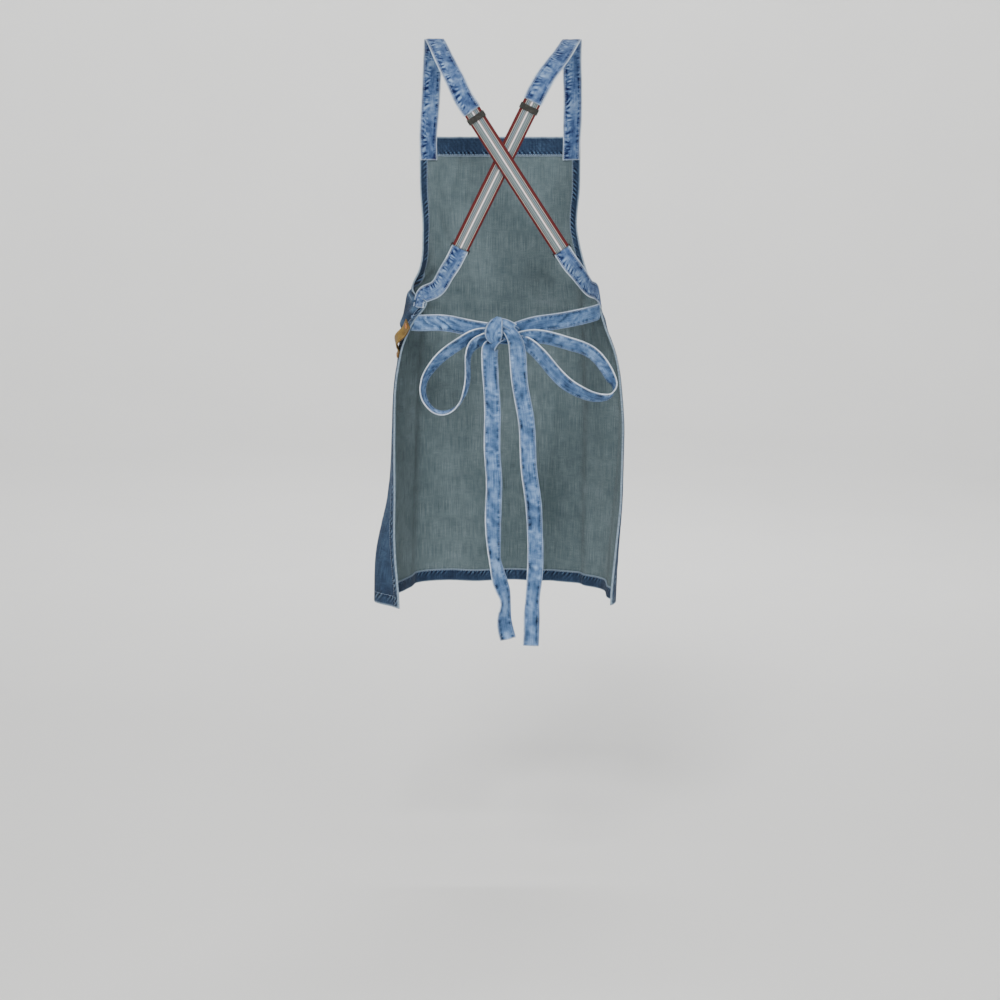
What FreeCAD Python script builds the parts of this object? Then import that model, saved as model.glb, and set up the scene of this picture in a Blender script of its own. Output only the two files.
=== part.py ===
"""Cross-back denim apron, modelled as it hangs when worn.

The frame: +Z up, +Y the way the wearer faces, +X the wearer's right.  The
origin is midway between the places where the two straps lie on the shoulders.
Lengths are millimetres.
"""
import FreeCAD, Part
import Sketcher
import math
import os

Vector = FreeCAD.Vector
document = FreeCAD.newDocument("denim_apron")
sheet = document.addObject("Spreadsheet::Sheet", "Sizes")

# ---------------------------------------------------------------- driving sizes
SIZES = {
    "denim_thick": 1.0,
    "hem_thick": 1.6,
    "side_hem_width": 14,
    "bottom_hem_width": 20,
    "bib_hem_width": 32,
    "layer_gap": 0.1,
    "fold_gap": 0.05,
    "flute_depth": 7,
    "flute_pitch": 165,
    "strap_width": 30,
    "strap_thick": 1.8,
    "strap_overlap": 22,
    "strap_along": 124,
    "strap_sewn_depth": 38,
    "elastic_width": 27,
    "elastic_thick": 1.2,
    "elastic_inset": 20,
    "return_stub": 9,
    "slide_width": 31,
    "slide_height": 9.6,
    "slide_plate": 1.5,
    "slide_play": 0.3,
    "slide_bar_width": 4,
    "slide_bar_thick": 1.6,
    "slide_cheek": 1.5,
    "slide_from_strap": 12.5,
    "slide_fillet": 0.5,
    "return_depth": 1.0,
    "fold_tail": 12,
    "ring_wire": 2.0,
    "ring_hole_width": 28.4,
    "ring_hole_height": 3.4,
    "ring_fillet": 0.9,
    "tab_width": 27,
    "tab_thick": 1.4,
    "tab_tail": 16,
    "tab_layer_gap": 0.4,
    "tab_corner_inset": 2,
    "tab_low_inset": 14,
    "tie_width": 25,
    "tie_thick": 1.8,
    "knot_half_width": 27,
    "knot_half_depth": 11,
    "knot_half_height": 22,
    "chest_pocket_width": 140,
    "chest_pocket_top": -205,
    "chest_pocket_bottom": -335,
    "chest_pocket_bulge": 13,
    "hand_pocket_inner": 12,
    "hand_pocket_outer": 172,
    "hand_pocket_top": -500,
    "hand_pocket_bottom": -690,
    "hand_pocket_bulge": 18,
    "loop_width": 22,
    "loop_thick": 2.4,
    "loop_top": -452,
    "loop_bottom": -510,
    "loop_bulge": 12,
    "loop_from_edge": 13,
    "rivet_radius": 4.5,
    "rivet_height": 1.6,
    "rivet_inset": 9,
}

# Where the cloth wraps the body: level, half widths to the left and right, the
# centre's Y, the depth forward of it, and the angles from the front centre to
# the left and the right edge of the cloth.
STATION_FIELDS = ("level", "left", "right", "centre", "depth", "wrap_left", "wrap_right")
STATIONS = {
    "bib_top": (-150, 176, 176, 55, 70, 50, 50),
    "chest": (-230, 168, 168, 30, 92, 53, 53),
    "ribs": (-310, 150, 154, 12, 106, 60, 58),
    "midriff": (-370, 141, 154, 4, 112, 74, 70),
    "waist": (-398, 146, 159, 1, 115, 100, 86),
    "corner": (-415, 150, 163, 0, 116, 128, 99),
    "tie_line": (-453, 157, 173, 0, 118, 114, 97),
    "hip": (-507, 168, 193, 0, 123, 101, 97),
    "seat": (-560, 177, 202, 0, 128, 102, 98),
    "upper_thigh": (-640, 180, 208, 0, 136, 103, 101),
    "mid_thigh": (-740, 185, 208, 0, 143, 109, 104),
    "lower_thigh": (-830, 197, 203, 0, 148, 118, 108),
    "hem": (-920, 200, 200, 0, 150, 123, 112),
}


def fill_sheet():
    """Write every driving size into the spreadsheet, one aliased cell each."""
    rows = dict(SIZES)
    for station, values in STATIONS.items():
        for field, value in zip(STATION_FIELDS, values):
            rows[f"{station}_{field}"] = value
    for number, (alias, value) in enumerate(rows.items(), start=1):
        sheet.set(f"A{number}", alias)
        sheet.set(f"B{number}", str(value))
        sheet.setAlias(f"B{number}", alias)
    document.recompute()


def size(alias):
    """The value of one cell of the spreadsheet."""
    return float(getattr(sheet, alias))


# ---------------------------------------------------------------- worn surface
def hermite(knots, values, position):
    """A smooth curve through values at falling knots, with level ends."""
    if position >= knots[0]:
        return values[0]
    for i in range(len(knots) - 1):
        if position >= knots[i + 1]:
            break
    else:
        return values[-1]
    slopes = []
    for k in (i, i + 1):
        before, after = max(k - 1, 0), min(k + 1, len(knots) - 1)
        rise = (values[after] - values[before]) / (knots[after] - knots[before])
        turned = (values[k] - values[before]) * (values[after] - values[k]) <= 0
        slopes.append(0.0 if turned else rise)
    span = knots[i + 1] - knots[i]
    t = (position - knots[i]) / span
    return (
        values[i] * (2 * t**3 - 3 * t**2 + 1)
        + slopes[0] * span * (t**3 - 2 * t**2 + t)
        + values[i + 1] * (3 * t**2 - 2 * t**3)
        + slopes[1] * span * (t**3 - t**2)
    )


class Section:
    """The cloth's line at one level, measured along the cloth from the front centre."""

    steps = 72

    def __init__(self, level):
        knots = [size(f"{name}_level") for name in STATIONS]

        def blended(field):
            return hermite(knots, [size(f"{name}_{field}") for name in STATIONS], level)

        self.level = level
        self.left, self.right = blended("left"), blended("right")
        self.centre, self.depth = blended("centre"), blended("depth")
        self.low, self.high = -blended("wrap_left"), blended("wrap_right")
        self.table = self.measure()

    def plain_point(self, angle):
        turn = math.radians(angle)
        half = self.left if angle < 0 else self.right
        return Vector(half * math.sin(turn), self.centre + self.depth * math.cos(turn), self.level)

    def measure(self):
        """Pairs of distance along the cloth and angle, from edge to edge."""
        angles = [self.low + (self.high - self.low) * i / self.steps for i in range(self.steps + 1)]
        lengths = [0.0]
        for first, second in zip(angles, angles[1:]):
            step = (self.plain_point(second) - self.plain_point(first)).Length
            lengths.append(lengths[-1] + step)
        front = min(range(len(angles)), key=lambda i: abs(angles[i]))
        fine = (self.plain_point(0) - self.plain_point(angles[front])).Length
        zero = lengths[front] - math.copysign(fine, angles[front])
        return [(length - zero, angle) for length, angle in zip(lengths, angles)]

    def angle_at(self, along):
        for (a, first), (b, second) in zip(self.table, self.table[1:]):
            if along <= b:
                return first + (second - first) * (along - a) / (b - a)
        (a, first), (b, second) = self.table[-2:]
        return first + (second - first) * (along - a) / (b - a)

    def edge(self, side):
        """Distance along the cloth to its left (-1) or right (+1) edge."""
        return self.table[0][0] if side < 0 else self.table[-1][0]

    def outward(self, along):
        """The level outward normal of the cloth."""
        angle = self.angle_at(along)
        run = self.plain_point(angle + 0.5) - self.plain_point(angle - 0.5)
        return Vector(-run.y, run.x, 0).normalize()

    def flute(self, along):
        """How far the skirt's soft folds stand out or in at this place."""
        top, low = size("tie_line_level"), size("hem_level")
        fall = min(max((top - self.level) / (top - low), 0), 1) ** 1.3
        reach = min(along - self.edge(-1), self.edge(1) - along) / 60
        fade = min(max(reach, 0), 1)
        return size("flute_depth") * fall * fade * math.sin(2 * math.pi * along / size("flute_pitch") + 0.6)

    def point(self, along, proud=0.0):
        """A point of the cloth's middle plane, or one standing proud of it."""
        place = self.plain_point(self.angle_at(along))
        return place + self.outward(along) * (proud + self.flute(along))


def levels_between(high, low, step):
    """Levels from high to low, closer together round the waist corners."""
    corner = size("corner_level")
    levels = []
    level = high
    while level > low + 1:
        levels.append(level)
        near = abs(level - corner) < 36
        level -= step / 3 if near else step
    if low < corner < high:
        levels = [value for value in levels if abs(value - corner) > 2] + [corner]
    return sorted(set(levels + [low]), reverse=True)


def sheet_solid(levels, reach, proud, thick, columns=28):
    """A closed thin solid on the worn surface.

    reach gives the two ends of the cloth at a Section, proud the standing-out
    of the middle plane at a place across (0 to 1) and down (0 to 1).
    """
    wires = []
    for level in levels:
        section = Section(level)
        first, last = reach(section)
        down = (levels[0] - level) / (levels[0] - levels[-1])
        sides = []
        for offset in (thick / 2, -thick / 2):
            row = []
            for i in range(columns + 1):
                across = i / columns
                along = first + (last - first) * across
                row.append(section.point(along, proud(across, down) + offset))
            sides.append(row)
        outer, inner = Part.BSplineCurve(), Part.BSplineCurve()
        outer.interpolate(sides[0])
        inner.interpolate(sides[1])
        edges = [
            outer.toShape(),
            Part.LineSegment(sides[0][-1], sides[1][-1]).toShape(),
            inner.toShape().reversed(),
            Part.LineSegment(sides[1][0], sides[0][0]).toShape(),
        ]
        wires.append(Part.Wire(Part.__sortEdges__(edges)))
    return Part.makeLoft(wires, True, True)


# ---------------------------------------------------------------- flat bands
def smooth_route(points, count):
    """Even places along the smooth curve through the points."""
    curve = Part.BSplineCurve()
    curve.interpolate([Vector(*p) for p in points])
    return curve.discretize(count)


def smooth_values(points, vectors, places):
    """The vectors that belong to the points, carried smoothly to each place."""
    stations = [Vector(*p) for p in points]
    marks = [0.0]
    for first, second in zip(stations, stations[1:]):
        marks.append(marks[-1] + (second - first).Length)
    here, lengths = 0.0, [0.0]
    for first, second in zip(places, places[1:]):
        here += (second - first).Length
        lengths.append(here)
    carried = []
    for length in lengths:
        at = length / lengths[-1] * marks[-1]
        i = max(k for k in range(len(marks) - 1) if marks[k] <= at + 1e-9)
        t = min((at - marks[i]) / (marks[i + 1] - marks[i]), 1)
        t = t * t * (3 - 2 * t)
        carried.append(Vector(*vectors[i]) * (1 - t) + Vector(*vectors[i + 1]) * t)
    return carried


def band_solid(places, normals, width, thick, centred=True):
    """A flat band along the places, with its face turned to the normals.

    A band that isn't centred has its near edge on the places, and the normals
    then give the way from that edge to the far one.
    """
    wires = []
    for i, place in enumerate(places):
        run = (places[min(i + 1, len(places) - 1)] - places[max(i - 1, 0)]).normalize()
        if centred:
            across = run.cross(normals[i]).normalize()
        else:
            across = (normals[i] - run * run.dot(normals[i])).normalize()
        face = across.cross(run).normalize()
        start = place - across * (width / 2) if centred else place
        corners = [
            start + face * (thick / 2),
            start + across * width + face * (thick / 2),
            start + across * width - face * (thick / 2),
            start - face * (thick / 2),
        ]
        wires.append(Part.makePolygon(corners + corners[:1]))
    return Part.makeLoft(wires, True, True)


def add_feature(label, shape):
    feature = document.addObject("Part::Feature", label)
    feature.Label = label
    feature.Shape = shape
    return feature


# ---------------------------------------------------------------- cloth pieces
def whole(section):
    return section.edge(-1), section.edge(1)


def flat(across, down):
    return 0.0


def make_panel():
    """Bib and skirt, one cut of denim."""
    levels = levels_between(size("bib_top_level"), size("hem_level"), 18)
    add_feature("apron_panel", sheet_solid(levels, whole, flat, size("denim_thick"), 40))


def hem_proud():
    """Middle plane of a hem folded on the wrong side of the panel."""
    return -(size("denim_thick") / 2 + size("layer_gap") + size("hem_thick") / 2)


def under_hem():
    """The level, towards the wearer, of whatever lies against a hem."""
    return hem_proud() - size("hem_thick") / 2 - size("layer_gap")


def make_level_hems():
    """The hems of the bib's top and the skirt's bottom."""
    spans = {
        "bib_top_hem": ("bib_top_level", "bib_hem_width", -1),
        "bottom_hem": ("hem_level", "bottom_hem_width", 1),
    }
    side = size("side_hem_width") + 1

    def inside(section):
        return section.edge(-1) + side, section.edge(1) - side

    for label, (level, width, way) in spans.items():
        first = size(level)
        high, low = max(first, first + way * size(width)), min(first, first + way * size(width))
        levels = [high + (low - high) * i / 3 for i in range(4)]
        proud = hem_proud()
        add_feature(label, sheet_solid(levels, inside, lambda a, d: proud, size("hem_thick"), 40))


def make_edge_hem(label, side, high, low):
    """A hem along the left or right edge of the cloth."""
    count = 2 + int(abs(high - low) / 9)
    places, normals = [], []
    for i in range(count):
        level = high + (low - high) * i / (count - 1)
        section = Section(level)
        places.append(section.point(section.edge(side), hem_proud()))
        normals.append(section.outward(section.edge(side)))
    ways = []
    for i, normal in enumerate(normals):
        run = (places[min(i + 1, count - 1)] - places[max(i - 1, 0)]).normalize()
        ways.append(run.cross(normal) * side)
    width, thick = size("side_hem_width"), size("hem_thick")
    add_feature(label, band_solid(places, ways, width, thick, False))


def make_side_hems():
    ease = 3
    for side, name in ((-1, "left"), (1, "right")):
        corner = size("corner_level")
        make_edge_hem(f"armhole_hem_{name}", side, size("bib_top_level"), corner + ease)
        make_edge_hem(f"side_hem_{name}", side, corner - ease, size("hem_level"))


def pocket_proud(bulge):
    """A patch pocket lies flat on three sides and gapes at its mouth."""
    base = size("denim_thick") + size("layer_gap")

    def proud(across, down):
        return base + bulge * math.sin(math.pi * across) ** 0.8 * (1 - down) ** 0.7

    return proud


def make_pockets():
    half = size("chest_pocket_width") / 2
    inner, outer = size("hand_pocket_inner"), size("hand_pocket_outer")
    pockets = {
        "chest_pocket": (-half, half, "chest_pocket"),
        "hand_pocket_left": (-outer, -inner, "hand_pocket"),
        "hand_pocket_right": (inner, outer, "hand_pocket"),
    }
    for label, (first, last, family) in pockets.items():
        high, low = size(f"{family}_top"), size(f"{family}_bottom")
        levels = [high + (low - high) * i / 10 for i in range(11)]
        proud = pocket_proud(size(f"{family}_bulge"))

        def reach(section, first=first, last=last):
            return first, last

        add_feature(label, sheet_solid(levels, reach, proud, size("denim_thick"), 20))


# ---------------------------------------------------------------- straps
SHOULDER_ROUTES = {
    "left": [(-117, 104, -100), (-113, 84, -45), (-109, 42, -6), (-106, 0, 3),
             (-97, -42, -13), (-83, -82, -42), (-66.5, -108, -74)],
    "right": [(122, 104, -100), (120, 84, -45), (118, 42, -6), (116, 0, 2),
              (106, -42, -13), (91, -82, -35), (71, -105, -62)],
}
SHOULDER_NORMALS = [(0, 1, 0.08), (0, 0.75, 0.66), (0, 0.35, 0.94), (0, -0.1, 0.99),
                    (0, -0.45, 0.89), (0, -0.74, 0.67), (0, -0.94, 0.34)]
# Top and bottom of each stretch of elastic, on the wearer's back.
ELASTIC_ENDS = {
    "left": ((-43.8, -117, -114.3), (96.8, -108, -328.4)),
    "right": ((51, -112, -99.3), (-62.1, -104, -325.3)),
}
# From each ring round the wearer's side to the waist corner it is sewn to.
TAB_ROUTES = {
    "left": [(124.8, -89, -367), (144, -60, -392)],
    "right": [(-86.4, -90, -368.7), (-104, -76, -394)],
}
TAB_NORMALS = {
    "left": [(0.35, -0.93, 0), (0.75, -0.65, 0)],
    "right": [(-0.3, -0.95, 0), (-0.5, -0.85, 0)],
}
TAB_SIDE = {"left": 1, "right": -1}
# Where a tab is sewn on: the height over the waist corner, and the inset from the edge.
TAB_CORNER_STEPS = [(6, "tab_corner_inset"), (-9, "tab_low_inset")]


def strap_frame(side):
    """Top point, run, outward normal and width direction of one elastic."""
    top, bottom = (Vector(*p) for p in ELASTIC_ENDS[side])
    run = (bottom - top).normalize()
    back = Vector(0, -1, 0)
    outward = (back - run * run.dot(back)).normalize()
    return top, run, outward, outward.cross(run).normalize()


def placed(side, along, proud=0.0):
    """Placement whose X is across the strap, Y up it and Z outward."""
    top, run, outward, across = strap_frame(side)
    turn = FreeCAD.Rotation(across, run * -1, outward, "ZXY")
    return FreeCAD.Placement(top + run * along + outward * proud, turn)


def elastic_length(side):
    top, bottom = (Vector(*p) for p in ELASTIC_ENDS[side])
    return (bottom - top).Length


def ring_centre(side):
    """Centre of the ring, whose upper bar lies in the elastic's fold."""
    thick, wire = size("elastic_thick"), size("ring_wire")
    turn = (wire + thick) / 2 + size("fold_gap")
    top, run, outward, across = strap_frame(side)
    reach = elastic_length(side) + (size("ring_hole_height") + wire) / 2
    return top + run * reach + outward * (thick / 2 - turn)


def make_shoulder_strap(side):
    """A doubled denim strap from inside the bib over the shoulder to the elastic."""
    top, run, outward, across = strap_frame(side)
    sign = -1 if side == "left" else 1
    lift = size("strap_thick") / 2 + size("elastic_thick") + size("fold_gap")
    behind = under_hem() - size("strap_thick") / 2
    route, normals = [], []
    for drop in (size("strap_sewn_depth"), 2):
        section = Section(size("bib_top_level") - drop)
        along = sign * size("strap_along")
        point = section.point(along, behind)
        route.append(tuple(point))
        normals.append(tuple(section.outward(along)))
    route += SHOULDER_ROUTES[side]
    normals += SHOULDER_NORMALS
    for back in (size("strap_overlap"), 0):
        route.append(tuple(top - run * back + outward * lift))
        normals.append(tuple(outward))
    places = smooth_route(route, 70)
    faces = smooth_values(route, normals, places)
    shape = band_solid(places, faces, size("strap_width"), size("strap_thick"))
    add_feature(f"shoulder_strap_{side}", shape)


def bound_box(label, **cells):
    box = document.addObject("Part::Box", label)
    for name, formula in cells.items():
        box.setExpression(name, formula)
    return box


def half_tube(label, inner, outer, width):
    """Half a tube that turns a band over on itself: a cylinder cut by another."""
    pieces = []
    for part, radius in (("outer", outer), ("inner", inner)):
        cylinder = document.addObject("Part::Cylinder", f"{label}_{part}")
        cylinder.setExpression("Radius", radius)
        cylinder.setExpression("Height", width)
        cylinder.Angle = 180 if part == "outer" else 360
        cylinder.Placement.Rotation = FreeCAD.Rotation(Vector(0, 1, 0), 90)
        pieces.append(cylinder)
    cut = document.addObject("Part::Cut", f"{label}_turn")
    cut.Base, cut.Tool = pieces
    return cut


def make_elastic(side):
    """The woven elastic from the shoulder strap down to the ring and round its bar."""
    label = f"elastic_{side}"
    length = elastic_length(side)
    width, thick = "Sizes.elastic_width", "Sizes.elastic_thick"
    top = bound_box(f"{label}_top", Width=f"{length} + Sizes.elastic_inset", Height=thick, Length=width)
    turn = half_tube(
        label,
        "Sizes.ring_wire / 2 + Sizes.fold_gap",
        "Sizes.ring_wire / 2 + Sizes.elastic_thick + Sizes.fold_gap",
        width,
    )
    stub = bound_box(f"{label}_stub", Width="Sizes.return_stub", Height=thick, Length=width)
    half = size("elastic_width") / 2
    centre_drop = size("ring_wire") / 2 + size("fold_gap")
    top.Placement.Base = Vector(-half, -length, 0)
    turn.Placement = FreeCAD.Placement(
        Vector(half, -length, -centre_drop), FreeCAD.Rotation(Vector(0, 0, 1), 180)
    )
    stub.Placement.Base = Vector(-half, -length, -2 * centre_drop - size("elastic_thick"))
    fuse = document.addObject("Part::MultiFuse", label)
    fuse.Shapes = [top, turn, stub]
    fuse.Refine = True
    fuse.Label = label
    fuse.Placement = placed(side, 0)
    return fuse


def return_ends(side):
    """Both ends of the elastic's way back up, as (distance down, depth below)."""
    length = elastic_length(side)
    thick, gap = size("elastic_thick"), size("layer_gap")
    low = (length - size("return_stub") - gap, -(size("ring_wire") + gap + thick / 2))
    high = (size("slide_from_strap") + size("fold_tail") + 3 * gap, -size("return_depth"))
    return high, low


def make_elastic_return(side):
    """The elastic's way back up to the slide, under the first layer."""
    (start, high), (end, low) = return_ends(side)
    run = math.hypot(end - start, low - high)
    label = f"elastic_return_{side}"
    box = bound_box(
        label, Width=f"{run}", Height="Sizes.elastic_thick", Length="Sizes.elastic_width"
    )
    box.Label = label
    tilt = math.degrees(math.atan2(high - low, end - start))
    own = FreeCAD.Placement(
        Vector(-size("elastic_width") / 2, -end, low - size("elastic_thick") / 2),
        FreeCAD.Rotation(Vector(1, 0, 0), tilt),
    )
    box.Placement = placed(side, 0).multiply(own)


# How much shorter the folded end's lower layer is than its upper one.
FOLD_STEP = 2


def make_elastic_end(side):
    """The elastic's end, folded round the slide's rear bar and stitched."""
    label = f"elastic_end_{side}"
    width, thick = "Sizes.elastic_width", "Sizes.elastic_thick"
    inner = "Sizes.slide_bar_thick / 2 + Sizes.layer_gap"
    reach = "Sizes.fold_tail + Sizes.slide_bar_width / 2 + Sizes.layer_gap"
    upper = bound_box(f"{label}_upper", Width=reach, Height=thick, Length=width)
    lower = bound_box(f"{label}_lower", Width=f"{reach} - {FOLD_STEP}", Height=thick, Length=width)
    turn = half_tube(label, inner, f"{inner} + Sizes.elastic_thick", width)
    half = size("elastic_width") / 2
    radius = size("slide_bar_thick") / 2 + size("layer_gap")
    middle = -size("return_depth") - size("elastic_thick") / 2 - radius
    tail = size("fold_tail")
    lip = size("slide_bar_width") / 2 + size("layer_gap")
    upper.Placement.Base = Vector(-half, -tail, middle + radius)
    lower.Placement.Base = Vector(-half, -tail + FOLD_STEP, middle - radius - size("elastic_thick"))
    turn.Placement.Base = Vector(-half, lip, middle)
    fuse = document.addObject("Part::MultiFuse", label)
    fuse.Shapes = [upper, turn, lower]
    fuse.Refine = True
    fuse.Label = label
    fuse.Placement = placed(side, size("slide_from_strap"))


# ---------------------------------------------------------------- metal pieces
def origin_plane(body, role):
    for feature in body.Origin.OriginFeatures:
        if feature.Role == role:
            return feature
    raise ValueError(role)


# A rectangle is drawn with these half sizes, and its formulas then set the real ones.
DRAWN_HALF_WIDTH, DRAWN_HALF_HEIGHT = 10.0, 5.0
DRAWN_RELIEF_OFFSET = 8


def rectangle(sketch, width, height, centre_y=0.0):
    """A closed rectangle, centred across, with its two sizes bound to formulas."""
    w, h = DRAWN_HALF_WIDTH, DRAWN_HALF_HEIGHT
    corners = [
        Vector(-w, centre_y - h, 0), Vector(w, centre_y - h, 0),
        Vector(w, centre_y + h, 0), Vector(-w, centre_y + h, 0),
    ]
    first = sketch.GeometryCount
    for i in range(4):
        sketch.addGeometry(Part.LineSegment(corners[i], corners[(i + 1) % 4]), False)
    for i in range(4):
        sketch.addConstraint(
            Sketcher.Constraint("Coincident", first + i, 2, first + (i + 1) % 4, 1)
        )
    for i in (0, 2):
        sketch.addConstraint(Sketcher.Constraint("Horizontal", first + i))
        sketch.addConstraint(Sketcher.Constraint("Vertical", first + i + 1))
    wide = sketch.addConstraint(Sketcher.Constraint("DistanceX", first, 1, first, 2, 2 * w))
    tall = sketch.addConstraint(Sketcher.Constraint("DistanceY", first + 1, 1, first + 1, 2, 2 * h))
    left = sketch.addConstraint(Sketcher.Constraint("DistanceX", first, 1, -1, 1, w))
    low = sketch.addConstraint(Sketcher.Constraint("DistanceY", first, 1, -1, 1, h - centre_y))
    sketch.setExpression(f"Constraints[{wide}]", width)
    sketch.setExpression(f"Constraints[{tall}]", height)
    sketch.setExpression(f"Constraints[{left}]", f"({width}) / 2")
    return low


def make_slide(side):
    """A flat black adjuster: a face plate over the elastic and a bar under it."""
    label = f"strap_slide_{side}"
    body = document.addObject("PartDesign::Body", label)
    body.Label = label
    # Across the sketch is the strap's width; up the sketch is the strap's outward side.
    floor = "(Sizes.return_depth + Sizes.elastic_thick / 2 + Sizes.layer_gap)"
    ceiling = "(Sizes.elastic_thick + Sizes.slide_play)"

    block = body.newObject("Sketcher::SketchObject", f"{label}_outline")
    block.AttachmentSupport = (origin_plane(body, "XZ_Plane"), [""])
    block.MapMode = "FlatFace"
    low = rectangle(
        block,
        "Sizes.slide_width",
        f"{ceiling} + Sizes.slide_plate + {floor} + Sizes.slide_bar_thick",
    )
    block.setExpression(f"Constraints[{low}]", f"{floor} + Sizes.slide_bar_thick")
    pad = body.newObject("PartDesign::Pad", f"{label}_block")
    pad.Profile = block
    pad.Midplane = True
    pad.setExpression("Length", "Sizes.slide_height")

    channel = body.newObject("Sketcher::SketchObject", f"{label}_channel")
    channel.AttachmentSupport = (origin_plane(body, "XZ_Plane"), [""])
    channel.MapMode = "FlatFace"
    low = rectangle(channel, "Sizes.slide_width - 2 * Sizes.slide_cheek", f"{ceiling} + {floor}")
    channel.setExpression(f"Constraints[{low}]", floor)
    pocket = body.newObject("PartDesign::Pocket", f"{label}_passage")
    pocket.Profile = channel
    pocket.Midplane = True
    pocket.Type = 1
    document.recompute()

    for way in (1, -1):
        relief = body.newObject("Sketcher::SketchObject", f"{label}_relief{way + 2}")
        relief.AttachmentSupport = (origin_plane(body, "XY_Plane"), [""])
        relief.MapMode = "FlatFace"
        depth = "(Sizes.slide_height - Sizes.slide_bar_width) / 2 + 1"
        low = rectangle(relief, "Sizes.slide_width - 2 * Sizes.slide_cheek", depth, way * DRAWN_RELIEF_OFFSET)
        edge = "-Sizes.slide_bar_width / 2" if way > 0 else f"Sizes.slide_bar_width / 2 + {depth}"
        relief.setExpression(f"Constraints[{low}]", edge)
        cut = body.newObject("PartDesign::Pocket", f"{label}_gap{way + 2}")
        cut.Profile = relief
        cut.setExpression("Length", f"{floor} + Sizes.slide_bar_thick + 1")
        document.recompute()

    top = size("elastic_thick") + size("slide_play") + size("slide_plate")
    names = []
    for number, edge in enumerate(cut.Shape.Edges, start=1):
        if all(abs(vertex.Z - top) < 1e-4 for vertex in edge.Vertexes):
            names.append(f"Edge{number}")
    fillet = body.newObject("PartDesign::Fillet", f"{label}_soft_edges")
    fillet.Base = (cut, names)
    fillet.setExpression("Radius", "Sizes.slide_fillet")
    document.recompute()
    body.Placement = placed(side, size("slide_from_strap"))


def make_ring(side):
    """A slim rectangular loop that joins the elastic to the lower tab."""
    label = f"loop_ring_{side}"
    body = document.addObject("PartDesign::Body", label)
    body.Label = label
    outline = body.newObject("Sketcher::SketchObject", f"{label}_outline")
    outline.AttachmentSupport = (origin_plane(body, "XY_Plane"), [""])
    outline.MapMode = "FlatFace"
    low = rectangle(
        outline,
        "Sizes.ring_hole_width + 2 * Sizes.ring_wire",
        "Sizes.ring_hole_height + 2 * Sizes.ring_wire",
    )
    outline.setExpression(f"Constraints[{low}]", "Sizes.ring_hole_height / 2 + Sizes.ring_wire")
    low = rectangle(outline, "Sizes.ring_hole_width", "Sizes.ring_hole_height")
    outline.setExpression(f"Constraints[{low}]", "Sizes.ring_hole_height / 2")
    pad = body.newObject("PartDesign::Pad", f"{label}_bar")
    pad.Profile = outline
    pad.Midplane = True
    pad.setExpression("Length", "Sizes.ring_wire")
    document.recompute()
    names = []
    for number, edge in enumerate(pad.Shape.Edges, start=1):
        points = edge.Vertexes
        if abs(points[0].Z - points[-1].Z) < 1e-6:
            names.append(f"Edge{number}")
    fillet = body.newObject("PartDesign::Fillet", f"{label}_soft_edges")
    fillet.Base = (pad, names)
    fillet.setExpression("Radius", "Sizes.ring_fillet")
    document.recompute()
    turn = placed(side, 0).Rotation
    body.Placement = FreeCAD.Placement(ring_centre(side), turn)


def make_tab(side):
    """The lower denim tab: folded round the ring's bar and sewn to a waist corner."""
    top, run, outward, across = strap_frame(side)
    wire, thick, tail = size("ring_wire"), size("tab_thick"), size("tab_tail")
    turn = (wire + thick) / 2 + size("layer_gap")
    bar = ring_centre(side) + run * ((size("ring_hole_height") + wire) / 2)
    rest = (thick + size("tab_layer_gap")) / 2
    places, normals = [], []

    def add(along, proud, face):
        places.append(bar + run * along + outward * proud)
        normals.append(face)

    for share in (1, 0.75, 0.5):
        add(share * tail, -rest, outward * -1)
    add(tail / 4, -(rest + turn) / 2, outward * -1)
    for i in range(9):
        angle = math.radians(-90 - 180 * i / 8)
        face = run * math.cos(angle) + outward * math.sin(angle)
        add(math.cos(angle) * turn, math.sin(angle) * turn, face)
    add(tail / 4, (rest + turn) / 2, outward)

    route, faces = [], []
    for along in (tail / 2, tail + 2):
        route.append(tuple(bar + run * along + outward * rest))
        faces.append(tuple(outward))
    route += TAB_ROUTES[side]
    faces += TAB_NORMALS[side]
    for rise, inset in TAB_CORNER_STEPS:
        section = Section(size("corner_level") + rise)
        along = section.edge(TAB_SIDE[side]) - TAB_SIDE[side] * size(inset)
        proud = size("denim_thick") / 2 + thick / 2 + size("layer_gap")
        route.append(tuple(section.point(along, proud)))
        faces.append(tuple(section.outward(along)))
    front = smooth_route(route, 30)
    places += front
    normals += smooth_values(route, faces, front)
    add_feature(f"strap_tab_{side}", band_solid(places, normals, size("tab_width"), thick))


# ---------------------------------------------------------------- waist ties
KNOT_CENTRE = Vector(4, -141, -457)
TIE_ROUTES = {
    "left": [(-85.7, -100, -446.5), (-54, -120, -451), (-26, -132, -455), (-14, -137, -456)],
    "right": [(116, -82, -440.5), (81, -110, -444), (48, -129, -448), (22, -137, -456)],
}
TIE_NORMALS = {
    "left": [(-0.45, -0.89, 0), (-0.42, -0.9, 0), (-0.35, -0.93, 0), (-0.3, -0.95, 0)],
    "right": [(0.6, -0.8, 0), (0.52, -0.85, 0), (0.4, -0.92, 0), (0.25, -0.96, -0.1)],
}
TIE_LEVEL = {"left": -450, "right": -434}
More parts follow.
